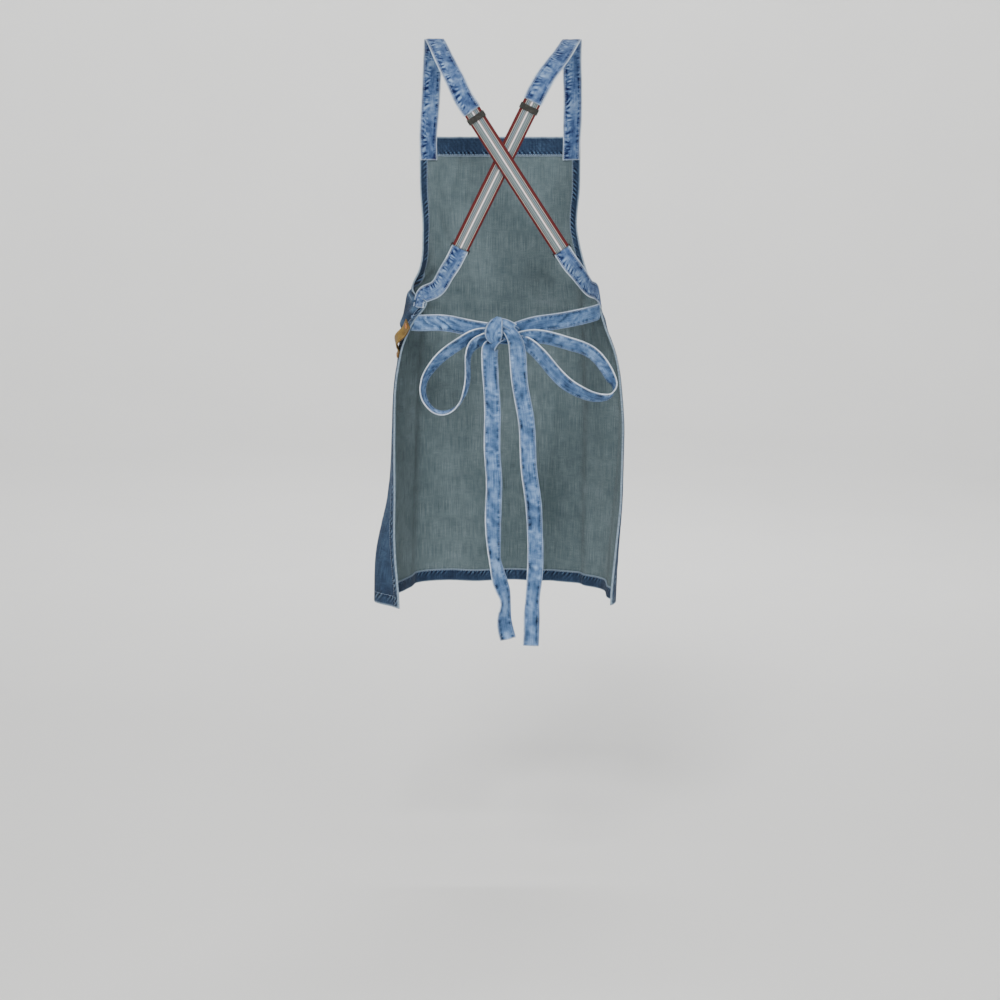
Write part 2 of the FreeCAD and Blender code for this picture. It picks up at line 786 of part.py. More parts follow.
# The near edge of each bow loop, and the way from it to the far edge.
BOW_LOOPS = {
    "left": [
        ((-12, -147, -450), (0.2, 0.6, -0.78)),
        ((-42, -152, -452.5), (0.1, 0.62, -0.78)),
        ((-66, -155, -465), (0.35, 0.66, -0.66)),
        ((-92, -157, -483.5), (0.5, 0.7, -0.5)),
        ((-112, -158, -506), (0.5, 0.8, -0.3)),
        ((-124, -159, -530), (0.4, 0.92, -0.1)),
        ((-126, -159, -553), (0.3, 0.95, 0.05)),
        ((-115, -159, -575.5), (0.15, 0.98, 0.1)),
        ((-93, -159, -587), (0.02, 1, 0.12)),
        ((-72, -159, -578), (0.05, 1, 0.05)),
        ((-60, -158, -556), (0.2, 0.97, 0)),
        ((-55, -156, -524), (0.3, 0.95, 0)),
        ((-54.5, -153, -492), (0.35, 0.93, -0.1)),
        ((-46, -150, -470), (0.5, 0.72, -0.45)),
        ((-24, -147, -458), (0.3, 0.65, -0.7)),
        ((-12, -145, -455), (0.1, 0.6, -0.8)),
    ],
    "right": [
        ((26, -143, -458), (0, 0.5, -0.87)),
        ((46, -148, -453), (0, 0.45, -0.89)),
        ((78, -150, -455.5), (0, 0.5, -0.87)),
        ((113, -151, -465.5), (-0.15, 0.55, -0.82)),
        ((146, -151, -478.5), (-0.35, 0.62, -0.7)),
        ((167, -151, -498), (-0.6, 0.68, -0.42)),
        ((181, -151, -522), (-0.62, 0.75, -0.2)),
        ((184.5, -151, -543), (-0.4, 0.88, -0.25)),
        ((175, -151, -554), (-0.1, 0.92, -0.38)),
        ((160, -151, -554.5), (0, 0.8, -0.6)),
        ((132, -150, -543.5), (-0.1, 0.6, -0.8)),
        ((106, -149, -525.5), (-0.35, 0.5, -0.8)),
        ((85, -148, -502), (-0.45, 0.5, -0.74)),
        ((64, -146, -479), (-0.4, 0.5, -0.76)),
        ((44, -143, -465), (-0.2, 0.5, -0.84)),
        ((30, -141, -461), (0, 0.5, -0.87)),
    ],
}
TAIL_ROUTES = {
    "left": [(-16, -146, -484), (-15.5, -147, -520), (-12, -147, -583), (-12.5, -147, -646),
             (-9.5, -148, -697), (-11, -149, -747), (-10.5, -149, -791), (-7, -147, -831),
             (2.5, -146, -867), (9, -146, -892), (7, -146, -918), (13, -146, -955)],
    "right": [(27, -148, -484), (31, -149, -534), (42, -149, -600), (46, -149, -674),
              (53, -151, -727), (56, -151, -774), (56, -151, -848), (52, -151, -896),
              (51, -151, -931), (50, -151, -965)],
}
TAIL_FACES = {
    "left": [(0, -1, 0), (0.1, -1, 0), (0.05, -1, 0), (0, -1, 0), (-0.15, -1, 0), (0, -1, 0),
             (0.5, -1, 0), (0.75, -0.8, 0), (0.5, -1, 0), (0.85, -0.7, 0), (0.6, -1, 0), (0, -1, 0)],
    "right": [(0, -1, 0), (0.1, -1, 0), (-0.1, -1, 0), (0.1, -1, 0), (0, -1, 0), (-0.3, -1, 0),
              (-0.3, -1, 0), (-0.5, -1, 0), (0.1, -1, 0), (0, -1, 0)],
}


def make_waist_tie(side):
    sign = -1 if side == "left" else 1
    inside = under_hem() - size("tie_thick") / 2
    section = Section(TIE_LEVEL[side])
    route, normals = [], []
    for inset in (14, 1):
        along = section.edge(sign) - sign * inset
        route.append(tuple(section.point(along, inside)))
        normals.append(tuple(section.outward(along)))
    route += TIE_ROUTES[side]
    normals += TIE_NORMALS[side]
    places = smooth_route(route, 36)
    faces = smooth_values(route, normals, places)
    add_feature(f"waist_tie_{side}", band_solid(places, faces, size("tie_width"), size("tie_thick")))


def make_bow_loop(side):
    route = [point for point, way in BOW_LOOPS[side]]
    ways = [way for point, way in BOW_LOOPS[side]]
    places = smooth_route(route, 64)
    carried = smooth_values(route, ways, places)
    shape = band_solid(places, carried, size("tie_width"), size("tie_thick"), False)
    add_feature(f"bow_loop_{side}", shape)


def make_tail(side):
    places = smooth_route(TAIL_ROUTES[side], 48)
    faces = smooth_values(TAIL_ROUTES[side], TAIL_FACES[side], places)
    add_feature(f"tie_tail_{side}", band_solid(places, faces, size("tie_width"), size("tie_thick")))


def make_knot():
    knot = document.addObject("Part::Ellipsoid", "bow_knot")
    knot.Label = "bow_knot"
    knot.Placement.Base = KNOT_CENTRE
    knot.setExpression("Radius2", "Sizes.knot_half_width")
    knot.setExpression("Radius3", "Sizes.knot_half_depth")
    knot.setExpression("Radius1", "Sizes.knot_half_height")


# ---------------------------------------------------------------- small pieces
def loop_places():
    """Centre line and outward normals of the leather loop at the left side."""
    high, low = size("loop_top"), size("loop_bottom")
    places, normals = [], []
    for i in range(15):
        down = i / 14
        section = Section(high + (low - high) * down)
        along = section.edge(-1) + size("loop_from_edge")
        rise = size("loop_bulge") * math.sin(math.pi * min(max((down - 0.17) / 0.66, 0), 1)) ** 2
        proud = (size("denim_thick") + size("loop_thick")) / 2 + size("layer_gap") + rise
        places.append(section.point(along, proud))
        normals.append(section.outward(along))
    return places, normals


def rivet_at(label, place, normal):
    """A low round rivet head."""
    rivet = document.addObject("Part::Cylinder", label)
    rivet.setExpression("Radius", "Sizes.rivet_radius")
    rivet.setExpression("Height", "Sizes.rivet_height")
    rivet.Placement = FreeCAD.Placement(place, FreeCAD.Rotation(Vector(0, 0, 1), normal))
    return rivet


def make_tool_loop():
    places, normals = loop_places()
    add_feature("tool_loop", band_solid(places, normals, size("loop_width"), size("loop_thick")))
    heads = []
    for number in (1, 13):
        seat = places[number] + normals[number] * (size("loop_thick") / 2 + 0.02)
        heads.append(rivet_at(f"loop_rivet_{number}", seat, normals[number]))
    group = document.addObject("Part::Compound", "tool_loop_rivets")
    group.Label = "tool_loop_rivets"
    group.Links = heads


def make_pocket_rivets():
    """A rivet at both upper corners of each pocket."""
    half = size("chest_pocket_width") / 2
    inset = size("rivet_inset")
    drop = 7
    spots = [(sign * (half - inset), size("chest_pocket_top") - drop, "chest", 2 * half) for sign in (-1, 1)]
    width = size("hand_pocket_outer") - size("hand_pocket_inner")
    for sign in (-1, 1):
        for along in (size("hand_pocket_inner") + inset, size("hand_pocket_outer") - inset):
            spots.append((sign * along, size("hand_pocket_top") - drop, "hand", width))
    heads = []
    for number, (along, level, family, width) in enumerate(spots):
        section = Section(level)
        across = inset / width
        tall = size(f"{family}_pocket_top") - size(f"{family}_pocket_bottom")
        proud = pocket_proud(size(f"{family}_pocket_bulge"))(across, drop / tall)
        seat = section.point(along, proud + size("denim_thick") / 2 + 0.9)
        heads.append(rivet_at(f"pocket_rivet_{number}", seat, section.outward(along)))
    group = document.addObject("Part::Compound", "pocket_rivets")
    group.Label = "pocket_rivets"
    group.Links = heads


# ---------------------------------------------------------------- build and write
def node_labels():
    pairs = ["armhole_hem", "side_hem", "hand_pocket", "shoulder_strap", "elastic",
             "elastic_return", "elastic_end", "strap_slide", "loop_ring", "strap_tab",
             "waist_tie", "bow_loop", "tie_tail"]
    single = ["apron_panel", "bib_top_hem", "bottom_hem", "chest_pocket", "bow_knot",
              "tool_loop", "tool_loop_rivets", "pocket_rivets"]
    return single + [f"{name}_{side}" for name in pairs for side in ("left", "right")]


def check_and_write():
    """Refuse a failed object or a bad shape, then write one file for each piece."""
    for thing in document.Objects:
        if "Invalid" in thing.State or "Error" in thing.State:
            raise RuntimeError(f"{thing.Name} failed: {thing.State}")
    os.makedirs("parts", exist_ok=True)
    labels = {thing.Label: thing for thing in document.Objects}
    shapes = {label: labels[label].Shape for label in node_labels()}
    for label, shape in shapes.items():
        if shape.isNull() or not shape.isValid() or not shape.Solids:
            raise RuntimeError(f"{label} has no valid solid")
        if any(solid.Volume <= 0 for solid in shape.Solids):
            raise RuntimeError(f"{label} is inside out")
    for label, shape in shapes.items():
        shape.exportStep(f"parts/{label}.step")
        box = shape.BoundBox
        print(f"{label:22s} {shape.Volume:10.1f} mm3  z {box.ZMin:8.1f} {box.ZMax:8.1f}")


def main():
    fill_sheet()
    make_panel()
    make_level_hems()
    make_side_hems()
    make_pockets()
    make_tool_loop()
    make_pocket_rivets()
    for side in ("left", "right"):
        make_shoulder_strap(side)
        make_elastic(side)
        make_elastic_return(side)
        make_elastic_end(side)
        make_slide(side)
        make_ring(side)
        make_tab(side)
        make_waist_tie(side)
        make_bow_loop(side)
        make_tail(side)
    make_knot()
    document.recompute()
    check_and_write()


main()
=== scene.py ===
"""Looks of the denim apron: cloth, elastic, thread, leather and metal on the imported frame."""
import math

import bpy
import numpy as np
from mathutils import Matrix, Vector


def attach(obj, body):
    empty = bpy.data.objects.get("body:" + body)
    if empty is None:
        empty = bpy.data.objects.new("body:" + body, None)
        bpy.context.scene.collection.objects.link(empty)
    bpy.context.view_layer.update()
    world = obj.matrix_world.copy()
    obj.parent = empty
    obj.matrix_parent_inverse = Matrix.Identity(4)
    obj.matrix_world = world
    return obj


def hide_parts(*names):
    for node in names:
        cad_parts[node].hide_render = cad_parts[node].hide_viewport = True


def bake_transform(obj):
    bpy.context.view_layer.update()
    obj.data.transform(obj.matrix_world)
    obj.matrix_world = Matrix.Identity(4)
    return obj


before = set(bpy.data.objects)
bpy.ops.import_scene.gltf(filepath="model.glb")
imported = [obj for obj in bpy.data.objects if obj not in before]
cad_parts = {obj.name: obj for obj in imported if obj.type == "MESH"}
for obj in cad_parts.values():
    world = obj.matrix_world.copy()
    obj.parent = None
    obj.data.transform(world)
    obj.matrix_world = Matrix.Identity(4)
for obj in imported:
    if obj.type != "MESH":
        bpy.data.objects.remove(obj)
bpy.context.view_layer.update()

MM = 0.001

# ---------------------------------------------------------------- smooth helpers


def unit(vectors):
    """Vectors of length one, along the last axis."""
    vectors = np.asarray(vectors, float)
    return vectors / np.maximum(np.linalg.norm(vectors, axis=-1, keepdims=True), 1e-12)


def rows_of(*cells):
    return np.array(cells, float)


def cubic(knots, values, places):
    """A natural cubic spline through values at the knots, read at the places."""
    knots, values = np.asarray(knots, float), np.asarray(values, float)
    count = len(knots)
    span = np.diff(knots)
    matrix, right = np.zeros((count, count)), np.zeros((count, values.shape[1]))
    matrix[0, 0] = matrix[-1, -1] = 1
    for i in range(1, count - 1):
        matrix[i, i - 1], matrix[i, i + 1] = span[i - 1], span[i]
        matrix[i, i] = 2 * (span[i - 1] + span[i])
        rise = (values[i + 1] - values[i]) / span[i] - (values[i] - values[i - 1]) / span[i - 1]
        right[i] = 6 * rise
    bend = np.linalg.solve(matrix, right)
    i = np.clip(np.searchsorted(knots, places, side="right") - 1, 0, count - 2)
    step = span[i][:, None]
    after, before = (np.asarray(places) - knots[i])[:, None], (knots[i + 1] - places)[:, None]
    return (
        bend[i] * before**3 / (6 * step)
        + bend[i + 1] * after**3 / (6 * step)
        + (values[i] / step - bend[i] * step / 6) * before
        + (values[i + 1] / step - bend[i + 1] * step / 6) * after
    )


def smoothstep(low, high, value):
    t = np.clip((value - low) / (high - low), 0, 1)
    return t * t * (3 - 2 * t)


def bell(value, width, centre=0.0):
    """A smooth hump of height one about its centre."""
    return np.exp(-((value - centre) / width) ** 2)


def distances(points):
    """How far along a line of points each of them is."""
    return np.concatenate([[0], np.cumsum(np.linalg.norm(np.diff(points, axis=0), axis=1))])


def grid_normals(middle, towards):
    """Normals of a grid of points, on the side that the given directions point to."""
    down, over = np.gradient(middle, axis=0), np.gradient(middle, axis=1)
    normal = unit(np.cross(over, down))
    return normal * np.sign((normal * towards).sum(-1, keepdims=True))


def ripple(u, v, pitch_u, pitch_v, seed):
    """Smooth random relief between -1 and 1, with bumps of about the two pitches."""
    u, v = np.broadcast_arrays(np.asarray(u, float) / pitch_u, np.asarray(v, float) / pitch_v)
    size = 512
    table = np.random.RandomState(seed).uniform(-1, 1, (size, size))
    i, j = np.floor(u).astype(int), np.floor(v).astype(int)
    a, b = u - i, v - j
    a, b = a * a * (3 - 2 * a), b * b * (3 - 2 * b)

    def corner(di, dj):
        return table[(i + di) % size, (j + dj) % size]

    low = corner(0, 0) * (1 - a) + corner(1, 0) * a
    high = corner(0, 1) * (1 - a) + corner(1, 1) * a
    return low * (1 - b) + high * b


# ---------------------------------------------------------------- thin cloth meshes
# How far a sheet's rim stands out of its border, as a share of its thickness.
RIM_BULGE = 0.42


def link_mesh(name, vertices, faces, materials):
    mesh = bpy.data.meshes.new(name)
    mesh.from_pydata([tuple(v) for v in vertices], [], [tuple(f) for f in faces])
    for material in materials:
        mesh.materials.append(material)
    mesh.polygons.foreach_set("use_smooth", [True] * len(mesh.polygons))
    piece = bpy.data.objects.new(name, mesh)
    bpy.context.scene.collection.objects.link(piece)
    return piece


def write_uv(mesh, uv):
    """One UV map in metres of cloth, from a place for each vertex."""
    layer = mesh.uv_layers.new(name="cloth")
    loops = np.zeros(len(mesh.loops), int)
    mesh.loops.foreach_get("vertex_index", loops)
    layer.data.foreach_set("uv", np.asarray(uv, np.float32)[loops].ravel())


def write_attribute(mesh, name, values):
    attribute = mesh.attributes.new(name, "FLOAT", "POINT")
    attribute.data.foreach_set("value", np.asarray(values, np.float32).ravel())


def thin_cloth(name, middle, normal, thick, uv, fade_and_shade, edge, materials):
    """A closed sheet of cloth with rounded rims round a grid of middle points.

    The first material is on the side that the normals point to, and the second,
    where there is one, on the other side.
    """
    rows, columns = middle.shape[:2]
    thick = np.broadcast_to(np.asarray(thick, float), (rows, columns))[..., None]
    front = middle + normal * thick / 2
    back = middle - normal * thick / 2
    index = np.arange(rows * columns).reshape(rows, columns)
    loop = np.concatenate([index[0, :-1], index[:-1, -1], index[-1, :0:-1], index[:0:-1, 0]])
    next_row = np.clip(np.arange(rows), 1, rows - 2)[:, None]
    inner = middle[next_row, np.clip(np.arange(columns), 1, columns - 2)]
    border = middle.reshape(-1, 3)[loop]
    outward = unit(border - inner.reshape(-1, 3)[loop])
    rim = border + outward * thick.reshape(-1, 1)[loop] * RIM_BULGE
    vertices = np.concatenate([front.reshape(-1, 3), back.reshape(-1, 3), rim])

    total = rows * columns
    a, b = index[:-1, :-1].ravel(), index[:-1, 1:].ravel()
    c, d = index[1:, 1:].ravel(), index[1:, :-1].ravel()
    side = np.cross(middle[0, 1] - middle[0, 0], middle[1, 0] - middle[0, 0])
    turned = float(side @ normal[0, 0]) < 0
    top = np.stack([a, d, c, b] if turned else [a, b, c, d], axis=1)
    bottom = top[:, ::-1] + total
    k = np.arange(len(loop))
    after = (k + 1) % len(loop)
    first, last = loop[k], loop[after]
    middle_rim, next_rim = 2 * total + k, 2 * total + after
    upper = np.stack([first, middle_rim, next_rim, last], axis=1)
    lower = np.stack([middle_rim, first + total, last + total, next_rim], axis=1)
    if turned:
        upper, lower = upper[:, ::-1], lower[:, ::-1]
    faces = np.concatenate([top, bottom, upper, lower])

    piece = link_mesh(name, vertices, faces.tolist(), materials)
    mesh = piece.data
    if len(materials) > 1:
        slots = np.zeros(len(faces), int)
        slots[len(top):len(top) + len(bottom)] = 1
        mesh.polygons.foreach_set("material_index", slots)

    def everywhere(values):
        values = np.asarray(values, float).reshape(total, -1)
        return np.concatenate([values, values, values[loop]])

    write_uv(mesh, everywhere(uv))
    # This attribute lightens the colour where the cloth stands out and darkens it in hollows: partly
    # real wash fading, partly painted highlight and painted shade.
    write_attribute(mesh, "fade_and_shade", everywhere(fade_and_shade))
    write_attribute(mesh, "edge", everywhere(edge))
    mesh.update()
    return piece


# ---------------------------------------------------------------- thread
# A stitch's outline as shares of its radius, and its rings' places as a share of its length.
STITCH_RING = [(1, 0), (0.3, 0.95), (-1, 0), (0.3, -0.95)]
STITCH_SHOULDER = 0.28
# The usual stitch, in millimetres, and the radii of the finer ones on hems and tapes.
STITCH_PITCH, STITCH_LENGTH, STITCH_RADIUS = 3.1, 2.4, 0.32
HEM_STITCH, STRAP_STITCH, TAB_STITCH, TIE_STITCH = 0.3, 0.28, 0.26, 0.24


class Thread:
    """Gathers single stitches and makes them into one mesh."""

    def __init__(self):
        self.vertices, self.faces = [], []

    def stitch(self, place, run, up, length, radius):
        """One stitch: two rings, and a point at each end that goes into the cloth."""
        side = np.cross(run, up)
        base = len(self.vertices)
        sunk = up * radius * 0.8
        self.vertices.append(place - run * length / 2 - sunk)
        for share in (-STITCH_SHOULDER, STITCH_SHOULDER):
            for lift, wide in STITCH_RING:
                self.vertices.append(place + run * length * share + (up * lift + side * wide) * radius)
        self.vertices.append(place + run * length / 2 - sunk)
        for i in range(4):
            j = (i + 1) % 4
            self.faces.append((base, base + 1 + j, base + 1 + i))
            self.faces.append((base + 1 + i, base + 1 + j, base + 5 + j, base + 5 + i))
            self.faces.append((base + 5 + i, base + 5 + j, base + 9))

    def row(self, places, normals, pitch=STITCH_PITCH, length=STITCH_LENGTH,
            radius=STITCH_RADIUS):
        """Stitches along a line of places on the cloth's surface, with sizes in millimetres."""
        length, radius = length * MM, radius * MM
        places, normals = np.asarray(places), unit(normals)
        steps = np.linalg.norm(np.diff(places, axis=0), axis=1)
        marks = np.concatenate([[0], np.cumsum(steps)])
        count = max(1, int(marks[-1] / (pitch * MM)))
        for i in range(count):
            at = (i + 0.5) / count * marks[-1]
            k = min(np.searchsorted(marks, at, side="right") - 1, len(steps) - 1)
            t = (at - marks[k]) / max(steps[k], 1e-9)
            place = places[k] * (1 - t) + places[k + 1] * t
            up = unit(normals[k] * (1 - t) + normals[k + 1] * t)
            run = unit(places[k + 1] - places[k])
            run = unit(run - up * (run @ up))
            self.stitch(place + up * radius * 0.35, run, up, length, radius)

    def make(self, name, body, slot, material=None):
        piece = link_mesh(name, self.vertices, self.faces, [material or THREAD])
        return finish_piece(piece, body, slot)


def finish_piece(piece, body, slot, *nodes):
    """The piece rides on a body, and stands for the CAD nodes named."""
    if body:
        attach(piece, body)
    if nodes:
        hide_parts(*nodes)
    return piece


# ---------------------------------------------------------------- flat bands
# How far a band's columns crowd towards its edges: 0 is evenly spaced, 1 the most.
EDGE_CROWDING = 0.86


class Band:
    """A flat strip of cloth along a smooth route, with puckered seams and soft creases."""

    def __init__(self, route, facing, width, thick, from_edge=False, seed=1, seam=2.6, crease=0.0,
                 pucker=0.3, folds=0.0, slant=0.5, bars=0.0, edge_wide=0.85, worn=(0.9, 0.9),
                 widths=None, step=1.6, columns=18, rims=True, mirrored=False):
        """All sizes are in millimetres here, and in metres in what is kept."""
        route, facing = np.asarray(route, float) * MM, np.asarray(facing, float)
        chord = distances(route)
        fine = np.linspace(0, chord[-1], 600)
        real = distances(cubic(chord, route, fine))
        rows = max(8, int(real[-1] / (step * MM)))
        self.along = np.linspace(0, real[-1], rows)
        at = np.interp(self.along, real, fine)
        centre = cubic(chord, route, at)
        carried = cubic(chord, facing, at)
        run = unit(np.gradient(centre, axis=0))
        if from_edge:
            across = unit(carried - run * (carried * run).sum(1)[:, None])
        else:
            across = unit(np.cross(run, carried))
        self.across, self.face = across, unit(np.cross(across, run))
        self.width, self.thick, self.seam = width * MM, thick * MM, seam * MM
        self.crease, self.pucker, self.folds = crease * MM, pucker * MM, folds * MM
        self.spread = np.full(rows, self.width)
        if widths is not None:
            self.spread = cubic(chord, np.asarray(widths, float)[:, None] * MM, at)[:, 0]
        self.start = centre if from_edge else centre - across * self.spread[:, None] / 2
        self.seed, self.slant, self.bars, self.rims = seed, slant, bars, rims
        self.edge_wide, self.worn, self.mirrored = edge_wide * MM, worn, mirrored
        turn = np.linspace(-1, 1, columns) * math.pi / 2 * EDGE_CROWDING
        self.u = np.sin(turn) / math.sin(math.pi / 2 * EDGE_CROWDING)

    def puckers(self, u, v):
        """Rungs of gathered cloth beside the seams, deep on one side and short on the other."""
        far, near = (1 + u) * self.width / 2, (1 - u) * self.width / 2
        drift = 0.9 * ripple(v + 0 * u, u * self.width, 11 * MM, 26 * MM, self.seed + 7)
        rung = np.sin(2 * math.pi * (v / (7.6 * MM) + drift))
        broken = 0.55 + 1.0 * ripple(u * self.width, v, 7 * MM, 5 * MM, self.seed + 8)
        deep = bell(near, 0.16 * self.width, 0.27 * self.width)
        short = 0.45 * bell(far, 0.07 * self.width, 0.15 * self.width)
        return rung * broken * (deep + short)

    def creases(self, u, v):
        """Sharp-topped folds that run slanting across the band."""
        across = u * self.width
        lean = v + self.slant * across + 3 * MM * ripple(across, v, 12 * MM, 17 * MM, self.seed + 9)
        ridge = 1 - 2.2 * np.abs(ripple(lean, across * 0.3, 12 * MM, 11 * MM, self.seed + 5))
        strength = 0.55 + 0.6 * ripple(across * 0.2, v, 30 * MM, 24 * MM, self.seed + 6)
        return ridge * strength

    def relief(self, u, v):
        """How far the cloth stands out of its smooth middle at u across and v along."""
        inside = (1 - np.abs(u)) * self.width / 2
        body = smoothstep(0, 4 * MM, inside)
        soft = ripple(u * self.width, v, 16 * MM, 21 * MM, self.seed)
        soft = soft + 0.6 * ripple(u * self.width + v * 0.6, v, 9 * MM, 7 * MM, self.seed + 1)
        near_seam = bell(inside, 1.7 * MM, self.seam)
        sharp = ripple(np.sign(u) * 3 + v * 0, v, 1.0, 3.6 * MM, self.seed + 2)
        fine = ripple(u * self.width, v, 4 * MM, 3 * MM, self.seed + 3)
        return (
            self.crease * body * soft
            + self.folds * (0.35 + 0.65 * body) * self.creases(u, v)
            + self.bars * 0.28 * MM * self.puckers(u, v)
            + self.pucker * near_seam * (sharp - 0.7)
            + self.pucker * 0.35 * fine
        )

    def thickness(self, u):
        """Thicker where the edge is rolled, and thinner under the stitches."""
        if not self.rims:
            return self.thick * (0.92 + 0 * u)
        inside = (1 - np.abs(u)) * self.width / 2
        rolled = 0.1 * bell(inside, 1.2 * MM, 0.8 * MM)
        dip = 0.2 * bell(inside, 0.8 * MM, self.seam)
        return self.thick * (0.92 + rolled - dip)

    def point(self, u, side=0.0):
        """The line along the band at one place across, on its face (1), middle or back (-1)."""
        where = self.start + self.across * ((u + 1) / 2 * self.spread)[:, None]
        lift = self.relief(np.full(len(self.along), u), self.along) + side * self.thickness(u) / 2
        return where + self.face * lift[:, None]

    def surface(self):
        u, v = np.meshgrid(self.u, self.along)
        share = (u + 1) / 2
        middle = self.start[:, None] + self.across[:, None] * (share * self.spread[:, None])[..., None]
        lift = self.relief(u, v)
        middle = middle + self.face[:, None] * lift[..., None]
        return u, v, middle, grid_normals(middle, self.face[:, None]), lift

    def make(self, name, body, slot, node, held, on, flat_width=None):
        """The band as a sheet of cloth, which stands for a CAD node."""
        u, v, middle, normal, lift = self.surface()
        inside = (1 - np.abs(u)) * self.width / 2
        ends = np.minimum(v - v.min(), v.max() - v)
        rub = np.where(u < 0, self.worn[0], self.worn[1])
        rub = rub * (0.85 + 0.3 * ripple(np.sign(u) * 5 + 0 * v, v, 1.0, 19 * MM, self.seed + 11))
        edge = rub * bell(inside, self.edge_wide) + 0.5 * max(self.worn) * bell(ends, 1.1 * MM)
        # Painted shade in the valleys beside the seams, with lighter specks on the puckers there; the
        # colour also rises on raised cloth and on the rungs and falls in their hollows: partly real wash
        # fading, partly painted highlight and painted shade.
        seam_fade_and_shade = bell(inside - self.seam, 2.4 * MM, 1.2 * MM)
        speck = ripple(np.sign(u) * 3 + v * 0, v, 1.0, 3.6 * MM, self.seed + 2)
        height = max(self.crease + self.pucker + self.folds, 1e-6)
        fade_and_shade = lift / height * 0.75 + seam_fade_and_shade * (speck * 0.45 - 0.22)
        fade_and_shade = fade_and_shade + self.bars * self.puckers(u, v) * 1.1
        place = 1 - (u + 1) / 2 if self.mirrored else (u + 1) / 2
        uv = np.stack([place * self.width, v], axis=-1)
        piece = thin_cloth(
            name, middle, normal, self.thickness(u), uv, np.clip(fade_and_shade, -1, 1),
            np.clip(edge, 0, 1), [BAND_CLOTH[slot]]
        )
        finish_piece(piece, body, slot, *([node] if node else []))
        return piece

    def stitches(self, thread, places=None, sides=(1, -1), trim=2, lead=0, **how):
        """Rows of stitches at places across, on both faces, beside the edges if none are given."""
        seam = 1 - 2 * self.seam / self.width
        keep = (self.along > max(trim, lead) * MM) & (self.along[-1] - self.along > trim * MM)
        for u in places or (seam, -seam):
            for side in sides:
                thread.row(self.point(u, side)[keep], (self.face * side)[keep], **how)


# ---------------------------------------------------------------- materials


class Graph:
    """A short way to write a shader's nodes."""

    def __init__(self, name, base_color=(0.5, 0.5, 0.5)):
        self.material = bpy.data.materials.new(name)
        self.material.use_nodes = True
        self.material.diffuse_color = (*base_color, 1)
        self.tree = self.material.node_tree
        self.nodes = self.tree.nodes
        self.shader = self.nodes["Principled BSDF"]

    def put(self, socket, value):
        if hasattr(value, "is_linked") or hasattr(value, "links"):
            self.tree.links.new(value, socket)
        else:
            socket.default_value = value

    def math(self, operation, a, b=0.0, c=0.0, clamp=False):
        node = self.nodes.new("ShaderNodeMath")
        node.operation = operation
        node.use_clamp = clamp
        for socket, value in zip(node.inputs, (a, b, c)):
            self.put(socket, value)
        return node.outputs[0]

    def attribute(self, name):
        node = self.nodes.new("ShaderNodeAttribute")
        node.attribute_name = name
        return node.outputs["Fac"]

    def uv(self):
        node = self.nodes.new("ShaderNodeUVMap")
        node.uv_map = "cloth"
        return node.outputs[0]

    def place(self):
        return self.nodes.new("ShaderNodeTexCoord").outputs["Object"]

    def stretch(self, vector, scale):
        node = self.nodes.new("ShaderNodeMapping")
        self.put(node.inputs["Vector"], vector)
        node.inputs["Scale"].default_value = scale
        return node.outputs[0]

    def vary(self, value, source, weight):
        """A value moved up and down by a source that lies between 0 and 1."""
        return self.math("MULTIPLY_ADD", self.math("SUBTRACT", source, 0.5), weight, value)

    def wave(self, place, rate=None):
        """Ribs between 0 and 1, with a rate in radians to the metre."""
        turn = place if rate is None else self.math("MULTIPLY", place, rate)
        return self.math("MULTIPLY_ADD", self.math("SINE", turn), 0.5, 0.5)

    def split(self, vector):
        node = self.nodes.new("ShaderNodeSeparateXYZ")
        self.put(node.inputs[0], vector)
        return node.outputs

    def noise(self, vector, scale, detail=3.0, rough=0.55):
        node = self.nodes.new("ShaderNodeTexNoise")
        self.put(node.inputs["Vector"], vector)
        node.inputs["Scale"].default_value = scale
        node.inputs["Detail"].default_value = detail
        node.inputs["Roughness"].default_value = rough
        return node.outputs["Fac"]

    def ramp(self, value, stops, mode="LINEAR"):
        node = self.nodes.new("ShaderNodeValToRGB")
        self.put(node.inputs["Fac"], value)
        node.color_ramp.interpolation = mode
        elements = node.color_ramp.elements
        while len(elements) > 1:
            elements.remove(elements[-1])
        elements[0].position = stops[0][0]
        elements[0].color = (*stops[0][1], 1)
        for position, color in stops[1:]:
            elements.new(position).color = (*color, 1)
        return node.outputs["Color"]

    def mix(self, share, a, b, mode="MIX"):
        node = self.nodes.new("ShaderNodeMix")
        node.data_type = "RGBA"
        node.blend_type = mode
        self.put(node.inputs["Factor"], share)
        for socket, value in ((node.inputs[6], a), (node.inputs[7], b)):
            self.put(socket, (*value, 1) if isinstance(value, tuple) else value)
        return node.outputs[2]

    def level(self, value, low, high, to_low=0.0, to_high=1.0):
        node = self.nodes.new("ShaderNodeMapRange")
        self.put(node.inputs["Value"], value)
        limits = {"From Min": low, "From Max": high, "To Min": to_low, "To Max": to_high}
        for name, number in limits.items():
            node.inputs[name].default_value = number
        return node.outputs[0]

    def bump(self, height, distance, strength=1.0, below=None):
        node = self.nodes.new("ShaderNodeBump")
        node.inputs["Strength"].default_value = strength
        node.inputs["Distance"].default_value = distance
        self.put(node.inputs["Height"], height)
        if below is not None:
            self.tree.links.new(below, node.inputs["Normal"])
        return node.outputs[0]

    def finish(self, color, roughness, normal=None, **constants):
        self.put(self.shader.inputs["Base Color"], color)
        self.put(self.shader.inputs["Roughness"], roughness)
        if normal is not None:
            self.put(self.shader.inputs["Normal"], normal)
        for name, value in constants.items():
            self.shader.inputs[name.replace("_", " ")].default_value = value
        return self.material


# The weaves, in radians to the metre: denim's twill across and along, and the elastic's.
TWILL_RATES = (6900, 3600)
RIB_RATE, CORD_RATE = 4100, 5200
